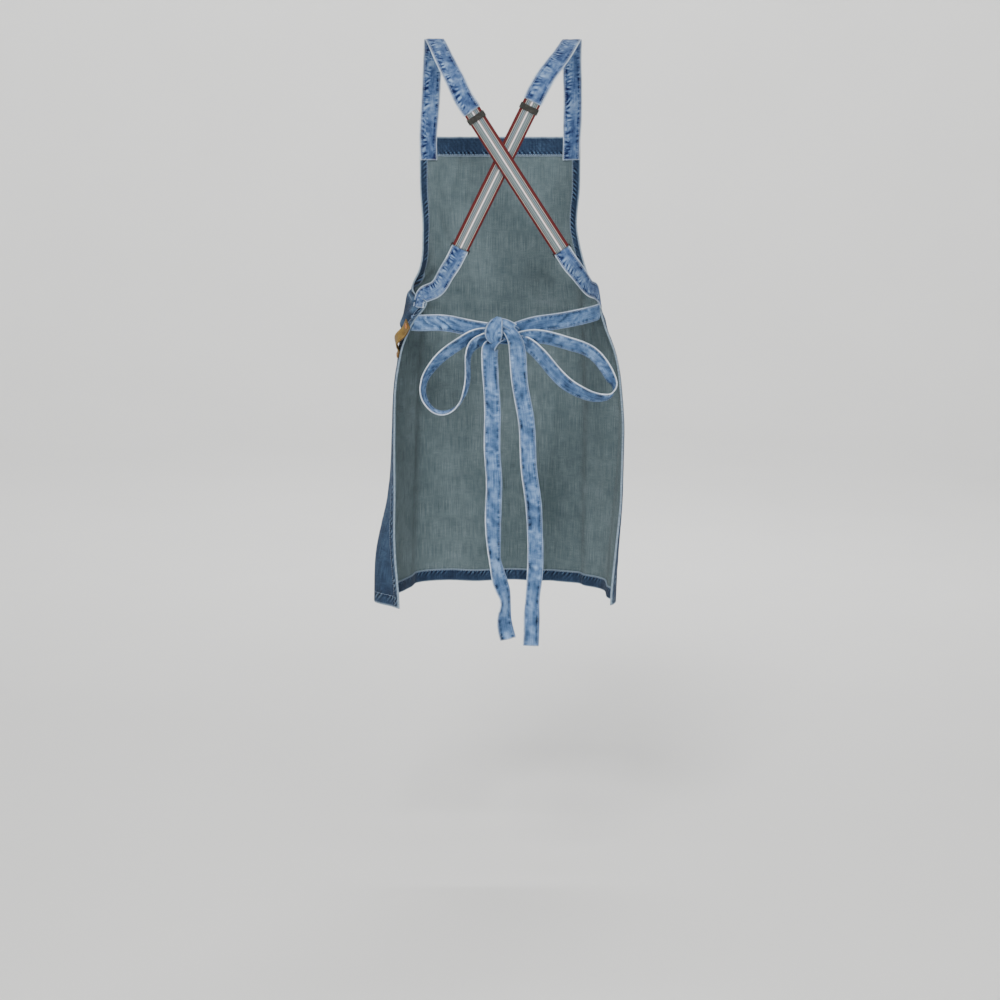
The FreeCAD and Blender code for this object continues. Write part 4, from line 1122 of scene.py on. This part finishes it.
class StrapLine:
    """The straight stretch of one elastic, with its run and its outward side."""

    def __init__(self, side):
        self.top, bottom = ELASTIC_ENDS[side]
        self.length = float(np.linalg.norm(bottom - self.top))
        self.run = unit(bottom - self.top)
        back = np.array([0.0, -1.0, 0.0])
        self.outward = unit(back - self.run * (self.run @ back))

    def at(self, along, proud=0.0):
        return self.top + self.run * along + self.outward * proud

    def ring(self):
        """The middle of the ring, whose upper bar the elastic turns round."""
        return self.at(self.length + (RING_HOLE + RING_WIRE) / 2, ELASTIC_THICK / 2 - RING_TURN)

    def bend(self, along, proud, radius, first, last):
        """Places and facings of a half turn round a bar, between two angles in degrees."""
        route, facing = [], []
        for angle in np.radians(np.linspace(first, last, 9)):
            out, down = math.sin(angle), math.cos(angle)
            route.append(self.at(along + radius * down, proud + radius * out))
            facing.append(self.outward * out + self.run * down)
        return route, facing


def sewn_band(part, side, route, facing, slot, held, on, thread, body="apron", lead=0,
              radius=TIE_STITCH, **how):
    """A tape of doubled denim that stands for one CAD node, with stitches along both edges."""
    band = Band(route, facing, **how)
    piece = band.make(f"{part}_cloth_{side}", body, slot, f"{part}_{side}", held, on)
    band.stitches(thread, lead=lead, radius=radius)
    return band, piece


def elastic_band(name, node, side, route, facing, body, held, on, slim=0.93, **how):
    """A stretch of the striped tape. The left one's stripes are mirrored."""
    band = Band(route, facing, ELASTIC_WIDE, ELASTIC_THICK * slim, rims=False,
                mirrored=side == "left", **how)
    piece = band.make(f"{name}_{side}", body, "striped_elastic", f"{node}_{side}", held,
                      f"{on}_{side}")
    return band, piece


def make_shoulder_strap(side, thread):
    """Doubled denim over the shoulder, puckered along both stitched edges."""
    line = StrapLine(side)
    seats = [
        Section(BIB_TOP - drop).seat(SIGN[side] * STRAP_ALONG, BEHIND_HEM - STRAP_THICK / 2)
        for drop in (38, 2)
    ]
    route, facing = map(list, zip(*seats))
    lift = STRAP_THICK / 2 + ELASTIC_THICK + 0.05
    route += SHOULDER_ROUTES[side] + [line.at(-back, lift) for back in (STRAP_OVERLAP, 0)]
    facing += SHOULDER_NORMALS + [line.outward] * 2
    sewn_band("shoulder_strap", side, route, facing, "strap_denim", "hung", "apron_panel", thread,
              width=STRAP_WIDE, thick=STRAP_THICK, seed=100 + SIGN[side], seam=3.4, crease=0.35,
              bars=1.0, folds=0.15, edge_wide=1.3, radius=STRAP_STITCH)


def make_elastic(side):
    """The striped tape: down to the ring, round its bar and a little way back."""
    line = StrapLine(side)
    half = ELASTIC_THICK / 2
    route = [line.at(s, half) for s in np.linspace(-ELASTIC_INSET, line.length - 3, 16)]
    facing = [line.outward] * len(route)
    bend, ways = line.bend(line.length, half - RING_TURN, RING_TURN, 90, -90)
    route += bend + [line.at(line.length - s, half - 2 * RING_TURN) for s in (3, RETURN_STUB)]
    facing += ways + [line.outward * -1] * 2
    elastic_band("elastic_tape", "elastic", side, route, facing, "apron", "stretched", "loop_ring",
                 seed=120, crease=0.05, pucker=0.02, step=1.2, columns=14)


def make_return(side):
    """The tape's second layer, between the slide and the ring."""
    line = StrapLine(side)
    high = SLIDE_AT + FOLD_TAIL + 0.3
    low = line.length - RETURN_STUB - 0.1
    fall = RETURN_DEPTH - (RING_WIRE + 0.1 + ELASTIC_THICK / 2)
    route = [line.at(high + (low - high) * t, fall * t - RETURN_DEPTH) for t in np.linspace(0, 1, 6)]
    _, piece = elastic_band("elastic_return_tape", "elastic_return", side, route,
                            [line.outward] * 6, None, "stretched", "loop_ring",
                            seed=130, crease=0.04, pucker=0.02, step=2.4, columns=10)
    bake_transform(piece)


def make_end(side):
    """The tape's end, folded round the slide's rear bar and stitched down."""
    line = StrapLine(side)
    turn = SLIDE_BAR_THICK / 2 + 0.1 + ELASTIC_THICK / 2
    middle = -RETURN_DEPTH - turn
    lip = SLIDE_BAR / 2 + 0.1
    bend, ways = line.bend(SLIDE_AT - lip, middle, turn, 90, 270)
    route = [line.at(SLIDE_AT + s, middle + turn) for s in (FOLD_TAIL, 6, 0)] + bend
    route += [line.at(SLIDE_AT + s, middle - turn) for s in (0, 5, FOLD_TAIL - 2)]
    facing = [line.outward] * 3 + ways + [line.outward * -1] * 3
    band, _ = elastic_band("elastic_fold", "elastic_end", side, route, facing, f"slide_{side}",
                           "folded", "strap_slide", slim=0.9, seed=140, pucker=0, step=0.8,
                           columns=12)
    at = len(band.start) - 8
    over, face = band.across[at], band.face[at]
    centre = band.start[at] + over * 0.5 * band.width
    places = [centre + over * s * MM + face * 0.62 * MM for s in np.linspace(-11, 11, 12)]
    thread = Thread()
    thread.row(places, [face] * 12, pitch=2.4, length=2.0)
    thread.make(f"fold_stitches_{side}", f"slide_{side}", "striped_elastic")


def make_tab(side, thread):
    """The lower tab: folded round the ring's bar and sewn over the waist corner."""
    line = StrapLine(side)
    turn = (RING_WIRE + TAB_THICK) / 2 + 0.1
    bar = line.ring() + line.run * ((RING_HOLE + RING_WIRE) / 2)
    rest = (TAB_THICK + TAB_GAP) / 2
    back = line.outward * -1
    steps = [(share * TAB_TAIL, -rest, back) for share in (1, 0.75, 0.5)]
    steps.append((TAB_TAIL / 4, -(rest + turn) / 2, back))
    for angle in np.radians(np.linspace(-90, -270, 9)):
        down, out = math.cos(angle), math.sin(angle)
        steps.append((down * turn, out * turn, line.run * down + line.outward * out))
    steps.append((TAB_TAIL / 4, (rest + turn) / 2, line.outward))
    steps += [(along, rest, line.outward) for along in (TAB_TAIL / 2, TAB_TAIL + 2)]
    route = [bar + line.run * along + line.outward * proud for along, proud, _ in steps]
    facing = [way for _, _, way in steps]
    route += TAB_ROUTES[side]
    facing += TAB_NORMALS[side]
    corner_side = -SIGN[side]
    for rise, inset in TAB_CORNER_STEPS:
        section = Section(CORNER + rise)
        along = section.edge(corner_side) - corner_side * inset
        place, way = section.seat(along, ON_PANEL + TAB_THICK / 2 + 0.1)
        route.append(place)
        facing.append(way)
    sewn_band("strap_tab", side, route, facing, "strap_denim", "folded", f"loop_ring_{side}",
              thread, width=TAB_WIDE, thick=TAB_THICK, seed=150 + SIGN[side], seam=3, crease=0.3,
              bars=0.8, folds=0.15, edge_wide=1.3, step=1.0, radius=TAB_STITCH)


# ---------------------------------------------------------------- ties and bow
TIE_WIDE, TIE_THICK = 25, 1.8
TIE_TAPE = {"width": TIE_WIDE, "thick": TIE_THICK}
TIE_WORN = {"left": (0.75, 0.22), "right": (0.2, 0.6)}
TIE_ROUTES = {
    "left": [(-85.7, -100, -446.5), (-54, -120, -451), (-26, -132, -455), (-14, -137, -456)],
    "right": [(116, -82, -440.5), (81, -110, -444), (48, -129, -448), (22, -137, -456)],
}
TIE_NORMALS = {
    "left": [(-0.45, -0.89, 0), (-0.42, -0.9, 0), (-0.35, -0.93, 0), (-0.3, -0.95, 0)],
    "right": [(0.6, -0.8, 0), (0.52, -0.85, 0), (0.4, -0.92, 0), (0.25, -0.96, -0.1)],
}
TIE_LEVEL = {"left": -450, "right": -434}
# Each loop's outer edge, with the way that its width goes from there.
BOW_LOOPS = {
    "left": [
        ((-12, -147, -450), (0.2, 0.6, -0.78)),
        ((-42, -152, -452.5), (0.1, 0.62, -0.78)),
        ((-66, -155, -465), (0.35, 0.66, -0.66)),
        ((-92, -157, -483.5), (0.5, 0.7, -0.5)),
        ((-112, -158, -506), (0.5, 0.8, -0.3)),
        ((-124, -159, -530), (0.4, 0.92, -0.1)),
        ((-126, -159, -553), (0.3, 0.95, 0.05)),
        ((-115, -159, -575.5), (0.15, 0.98, 0.1)),
        ((-93, -159, -587), (0.02, 1, 0.12)),
        ((-72, -159, -578), (0.05, 1, 0.05)),
        ((-60, -158, -556), (0.2, 0.97, 0)),
        ((-55, -156, -524), (0.3, 0.95, 0)),
        ((-54.5, -153, -492), (0.35, 0.93, -0.1)),
        ((-46, -150, -470), (0.5, 0.72, -0.45)),
        ((-24, -147, -458), (0.3, 0.65, -0.7)),
        ((-12, -145, -455), (0.1, 0.6, -0.8)),
    ],
    "right": [
        ((26, -143, -458), (0, 0.5, -0.87)),
        ((46, -148, -453), (0, 0.45, -0.89)),
        ((78, -150, -455.5), (0, 0.5, -0.87)),
        ((113, -151, -465.5), (-0.15, 0.55, -0.82)),
        ((146, -151, -478.5), (-0.35, 0.62, -0.7)),
        ((167, -151, -498), (-0.6, 0.68, -0.42)),
        ((181, -151, -522), (-0.62, 0.75, -0.2)),
        ((184.5, -151, -543), (-0.4, 0.88, -0.25)),
        ((175, -151, -554), (-0.1, 0.92, -0.38)),
        ((160, -151, -554.5), (0, 0.8, -0.6)),
        ((132, -150, -543.5), (-0.1, 0.6, -0.8)),
        ((106, -149, -525.5), (-0.35, 0.5, -0.8)),
        ((85, -148, -502), (-0.45, 0.5, -0.74)),
        ((64, -146, -479), (-0.4, 0.5, -0.76)),
        ((44, -143, -465), (-0.2, 0.5, -0.84)),
        ((30, -141, -461), (0, 0.5, -0.87)),
    ],
}
TAIL_ROUTES = {
    "left": [(-16, -146, -484), (-15.5, -147, -520), (-12, -147, -583), (-12.5, -147, -646),
             (-9.5, -148, -697), (-11, -149, -747), (-10.5, -149, -791), (-7, -147, -831),
             (2.5, -146, -867), (9, -146, -892), (7, -146, -918), (13, -146, -955)],
    "right": [(27, -148, -484), (31, -149, -534), (42, -149, -600), (46, -149, -674),
              (53, -151, -727), (56, -151, -774), (56, -151, -848), (52, -151, -896),
              (51, -151, -931), (50, -151, -965)],
}
TAIL_FACES = {
    "left": [(0, -1, 0), (0.1, -1, 0), (0.05, -1, 0), (0, -1, 0), (-0.15, -1, 0), (0, -1, 0),
             (0.5, -1, 0), (0.75, -0.8, 0), (0.5, -1, 0), (0.85, -0.7, 0), (0.6, -1, 0), (0, -1, 0)],
    "right": [(0, -1, 0), (0.1, -1, 0), (-0.1, -1, 0), (0.1, -1, 0), (0, -1, 0), (-0.3, -1, 0),
              (-0.3, -1, 0), (-0.5, -1, 0), (0.1, -1, 0), (0, -1, 0)],
}


def make_tie(side, thread):
    """One waist tie, from under the side hem to the knot."""
    sign = SIGN[side]
    section = Section(TIE_LEVEL[side])
    edge = section.edge(sign)
    seats = [section.seat(edge - sign * inset, BEHIND_HEM - TIE_THICK / 2) for inset in (14, 1)]
    route, facing = map(list, zip(*seats))
    sewn_band("waist_tie", side, route + TIE_ROUTES[side], facing + TIE_NORMALS[side], "tie_denim",
              "stretched", "apron_panel", thread, **TIE_TAPE, seed=200 + sign, crease=0.6,
              folds=1.4, slant=0.9 * sign, worn=TIE_WORN[side])


def make_bow_loop(side, thread):
    route, ways = zip(*BOW_LOOPS[side])
    sewn_band("bow_loop", side, route, ways, "tie_denim", "hung", "bow_knot", thread, **TIE_TAPE,
              from_edge=True, seed=220 + SIGN[side], crease=0.7, folds=1.1, slant=0.4,
              worn=(1.0, 0.2))


# How each tail comes out of the knot, above the place it swings from.
TAIL_TOPS = {
    "left": [((4, -143, -464), (0.2, -0.5, 0.85)), ((-6, -150, -469), (-0.2, -0.65, 0.75)),
             ((-14, -152, -477), (-0.5, -0.85, 0.4))],
    "right": [((6, -147, -446), (-0.3, -0.8, 0.5)), ((15, -153, -455), (-0.2, -0.85, 0.45)),
              ((23, -154.5, -468), (0, -0.97, 0.2))],
}
TAIL_TOP_WIDTHS = [15, 18, 22]


def make_tail(side):
    """One tail, from inside the knot down."""
    tops, facing = map(list, zip(*TAIL_TOPS[side]))
    route = tops + TAIL_ROUTES[side]
    widths = TAIL_TOP_WIDTHS + [TIE_WIDE] * len(TAIL_ROUTES[side])
    thread = Thread()
    band, cloth = sewn_band(
        "tie_tail", side, route, facing + TAIL_FACES[side], "tie_denim", "hung", "bow_knot", thread,
        body=None, lead=26, **TIE_TAPE, seed=240 + SIGN[side], widths=widths, crease=0.8, folds=1.1,
        slant=0.25, worn=(0.25, 0.85)
    )
    over, face = band.across[-5], band.face[-5]
    end_row = band.start[-5] + over * np.linspace(3, 22, 9)[:, None] * MM
    thread.row(end_row + face * band.thick * 0.5, [face] * 9, radius=TIE_STITCH)
    stitches = thread.make(f"tail_stitches_{side}", None, "tie_denim")
    for piece in (cloth, stitches):
        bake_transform(piece)


# Each part of the knot: route, facings, the CAD node that it stands for, what it rests on, the
# width it was cut to, and how the band is made.
KNOT_PARTS = {
    "knot_wrap": (
        [(-2, -133, -443), (-2, -140, -436), (-3, -149, -437), (-8, -157, -447),
         (-10, -158.5, -457), (-8, -155, -467), (-4, -147, -474), (-3, -138, -470)],
        [(0, 0.3, 1), (0, -0.4, 0.9), (-0.1, -0.85, 0.5), (-0.15, -0.97, 0.2), (-0.1, -1, -0.1),
         (0, -0.85, -0.5), (0.1, -0.6, -0.8), (0, 0.1, -1)],
        "bow_knot", "waist_tie_left", 25,
        dict(width=25, thick=3.2, widths=[6, 7, 13, 23, 26, 21, 8, 6], seed=301, crease=0.9,
             folds=1.9, slant=-1.2, step=0.9, columns=30, worn=(0.3, 0.3)),
    ),
    "knot_fold": (
        [(-8, -145, -441), (3, -150, -441), (13, -151, -445), (22.5, -149, -450)],
        [(0, -0.9, 0.4), (0, -0.9, 0.4), (0.1, -0.93, 0.35), (0.25, -0.95, 0.15)],
        None, "waist_tie_left", 13,
        dict(width=16, thick=2.6, widths=[10, 12, 13.5, 13], seed=302, crease=0.7, folds=0.5,
             slant=1.0, step=0.9, worn=(0.55, 0.2)),
    ),
    "knot_under": (
        [(-8, -139, -466), (4, -141, -467), (16, -141, -467), (30, -139, -469), (42, -137, -473)],
        [(0, -1, 0), (0, -1, -0.1), (0, -1, -0.1), (0.1, -1, 0), (0.1, -1, 0)],
        None, "waist_tie_right", 17,
        dict(width=20, thick=2.4, widths=[14, 17, 18, 18, 16], seed=303, crease=0.7, folds=0.6,
             slant=0.8, step=1.0, worn=(0.1, 0.1)),
    ),
    "knot_core": (
        [(-21, -138, -452), (-10, -143, -452), (6, -146, -454), (20, -142, -457), (29, -137, -458)],
        [(-0.3, -1, 0), (-0.2, -1, 0), (0, -1, 0), (0.2, -1, 0), (0.3, -1, 0)],
        None, "waist_tie_right", 24,
        dict(width=24, thick=6, widths=[12, 23, 25, 20, 12], seed=304, crease=1.0, folds=0.8,
             slant=0.3, step=1.0, columns=24, worn=(0.1, 0.1)),
    ),
}


def make_knot():
    """The knot: a gathered wrap over the front, a folded end to its right, and what they hold."""
    for name, (route, facing, node, on, flat_width, how) in KNOT_PARTS.items():
        band = Band(route, facing, **how)
        band.make(name, "apron", "tie_denim", node, "folded", on, flat_width)


# ---------------------------------------------------------------- leather and metal
LOOP_WIDE, LOOP_THICK, LOOP_BULGE, LOOP_FROM_EDGE = 22, 2.4, 9, 13
LOOP_TOP, LOOP_BOTTOM = -452, -510
# Radius and height of each ring of a rivet's head, in millimetres.
RIVET_PROFILE = [(0, 1.35), (0.9, 1.3), (1.3, 0.75), (2.6, 0.7), (3.2, 1.15), (3.9, 1.2),
                 (4.4, 0.75), (4.5, 0.0)]
RIVET_SIDES = 28


def make_tool_loop():
    """The leather loop at the left side edge. The seats of its two rivets are returned."""
    seats = []
    for down in np.arange(15) / 14:
        section = Section(LOOP_TOP + (LOOP_BOTTOM - LOOP_TOP) * down)
        rise = LOOP_BULGE * math.sin(math.pi * min(max((down - 0.17) / 0.66, 0), 1)) ** 2
        proud = ON_PANEL + 0.1 + LOOP_THICK / 2 + rise
        seats.append(section.seat(section.edge(-1) + LOOP_FROM_EDGE, proud))
    route, facing = zip(*seats)
    band = Band(route, facing, LOOP_WIDE, LOOP_THICK * 0.9, seed=401, crease=0.08, pucker=0.04,
                step=0.9, columns=20, rims=False)
    band.make("tool_loop_leather", "apron", "tan_leather", "tool_loop", "folded", "apron_panel")
    thread = Thread()
    band.stitches(thread, (0.82, -0.82), sides=(1,), trim=3, radius=HEM_STITCH)
    thread.make("tool_loop_stitches", "apron", "tan_leather", TAN_THREAD)
    return [(route[k] * MM + facing[k] * LOOP_THICK / 2 * MM, facing[k]) for k in (1, 13)]


def round_faces(base, rings, around):
    """Faces of a round surface: a fan from the base vertex, then bands between its rings."""
    faces = []
    for k in range(around):
        after = (k + 1) % around
        faces.append((base, base + 1 + k, base + 1 + after))
        for ring in range(rings - 1):
            a = base + 1 + ring * around
            faces.append((a + k, a + around + k, a + around + after, a + after))
    return faces


def rivet_mesh(seats, name, node):
    """Domed rivet heads with a raised rim and a small nub."""
    vertices, faces = [], []
    for place, normal in seats:
        normal = unit(normal)
        side = unit(np.cross(normal, (0.1, 0.2, 1.0)))
        other = np.cross(normal, side)
        base = len(vertices)
        vertices.append(place + normal * RIVET_PROFILE[0][1] * MM)
        for radius, height in RIVET_PROFILE[1:]:
            for turn in 2 * math.pi * np.arange(RIVET_SIDES) / RIVET_SIDES:
                spoke = side * math.cos(turn) + other * math.sin(turn)
                vertices.append(place + (spoke * radius + normal * height) * MM)
        faces += round_faces(base, len(RIVET_PROFILE) - 1, RIVET_SIDES)
        faces.append(tuple(range(len(vertices) - RIVET_SIDES, len(vertices))))
    piece = link_mesh(name, vertices, faces, [BRASS])
    finish_piece(piece, "apron", "rivet_brass", node)


def paint_metal():
    for side in ("left", "right"):
        for node, metal in ((f"strap_slide_{side}", SLIDE_METAL), (f"loop_ring_{side}", RING_METAL)):
            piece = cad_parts[node]
            piece.data.materials.clear()
            piece.data.materials.append(metal)


# ---------------------------------------------------------------- stage


def add_area(name, place, aim, size, power, color):
    light = bpy.data.lights.new(name, "AREA")
    light.shape = "RECTANGLE"
    light.size, light.size_y = size
    light.energy = power
    light.color = color
    lamp = bpy.data.objects.new(name, light)
    lamp.location = place
    lamp.rotation_euler = (Vector(aim) - Vector(place)).to_track_quat("-Z", "Y").to_euler()
    lamp.visible_camera = False
    bpy.context.scene.collection.objects.link(lamp)


STAGE_LEVEL, STAGE_RADIUS, STAGE_CURVE, STAGE_TOP, STAGE_SIDES = -1.42, 7.0, 1.8, 5.0, 96
APRON_MIDDLE = (0, 0, -0.45)
# Place, aim, width and height in metres, power in watts, and colour.
LIGHTS = {
    "key": ((-0.6, -2.5, 1.9), APRON_MIDDLE, (0.9, 0.9), 96, (1, 0.985, 0.96)),
    "fill": ((2.4, -2.0, 0.2), APRON_MIDDLE, (1.8, 1.8), 5, (0.95, 0.97, 1)),
    "front": ((0.9, 2.6, 1.3), APRON_MIDDLE, (1.5, 1.5), 34, (1, 1, 1)),
    "wall_far": ((0, 1.8, 3.6), (0, 7, 0.6), (3.0, 1.0), 350, (1, 1, 1)),
    "wall_near": ((0, -1.8, 3.6), (0, -7, 0.6), (3.0, 1.0), 290, (1, 1, 1)),
}
SKY, SKY_STRENGTH = (0.93, 0.95, 0.98, 1), 0.1
CAMERA_PLACE, CAMERA_TILT = (0, -3.1, -0.205), 80
SENSOR, ZOOM = 36, 1.871


def backdrop():
    """A round pale floor that curves up into a wall, with no corner to be seen."""
    flat = STAGE_RADIUS - STAGE_CURVE
    rings = [(flat, STAGE_LEVEL)]
    for turn in np.radians(np.linspace(8, 90, 12)):
        rise = STAGE_CURVE * (1 - math.cos(turn))
        rings.append((flat + STAGE_CURVE * math.sin(turn), STAGE_LEVEL + rise))
    rings.append((STAGE_RADIUS, STAGE_TOP))
    vertices = [(0.0, 0.0, STAGE_LEVEL)]
    for radius, height in rings:
        for turn in 2 * math.pi * np.arange(STAGE_SIDES) / STAGE_SIDES:
            vertices.append((radius * math.cos(turn), radius * math.sin(turn), height))
    faces = round_faces(0, len(rings), STAGE_SIDES)
    link_mesh("backdrop", vertices, faces, [floor_material()])


def make_stage():
    """A pale floor and wall, soft studio light and the camera behind the wearer's place."""
    backdrop()
    for name, light in LIGHTS.items():
        add_area(name, *light)
    world = bpy.data.worlds.new("studio")
    world.use_nodes = True
    sky = world.node_tree.nodes["Background"]
    sky.inputs["Color"].default_value = SKY
    sky.inputs["Strength"].default_value = SKY_STRENGTH
    bpy.context.scene.world = world

    camera = bpy.data.cameras.new("camera")
    camera.sensor_width = SENSOR
    camera.lens = SENSOR * ZOOM
    viewer = bpy.data.objects.new("camera", camera)
    viewer.location = CAMERA_PLACE
    viewer.rotation_euler = (math.radians(CAMERA_TILT), 0, 0)
    bpy.context.scene.collection.objects.link(viewer)
    bpy.context.scene.camera = viewer


# ---------------------------------------------------------------- build


def main():
    make_stage()
    panel_thread, strap_thread, tie_thread = Thread(), Thread(), Thread()
    panel = Panel()
    cloth = panel.make()
    hems = make_hems(panel, panel_thread)
    rivet_mesh(make_pockets(panel, panel_thread), "pocket_rivet_heads", "pocket_rivets")
    rivet_mesh(make_tool_loop(), "tool_loop_rivet_heads", "tool_loop_rivets")
    for side in ("left", "right"):
        make_shoulder_strap(side, strap_thread)
        make_elastic(side)
        make_return(side)
        make_end(side)
        make_tab(side, strap_thread)
        make_tie(side, tie_thread)
        make_bow_loop(side, tie_thread)
        make_tail(side)
    make_knot()
    panel_thread.make("panel_stitches", "apron", "panel_denim")
    strap_thread.make("strap_stitches", "apron", "strap_denim")
    tie_thread.make("tie_stitches", "apron", "tie_denim")
    paint_metal()


main()
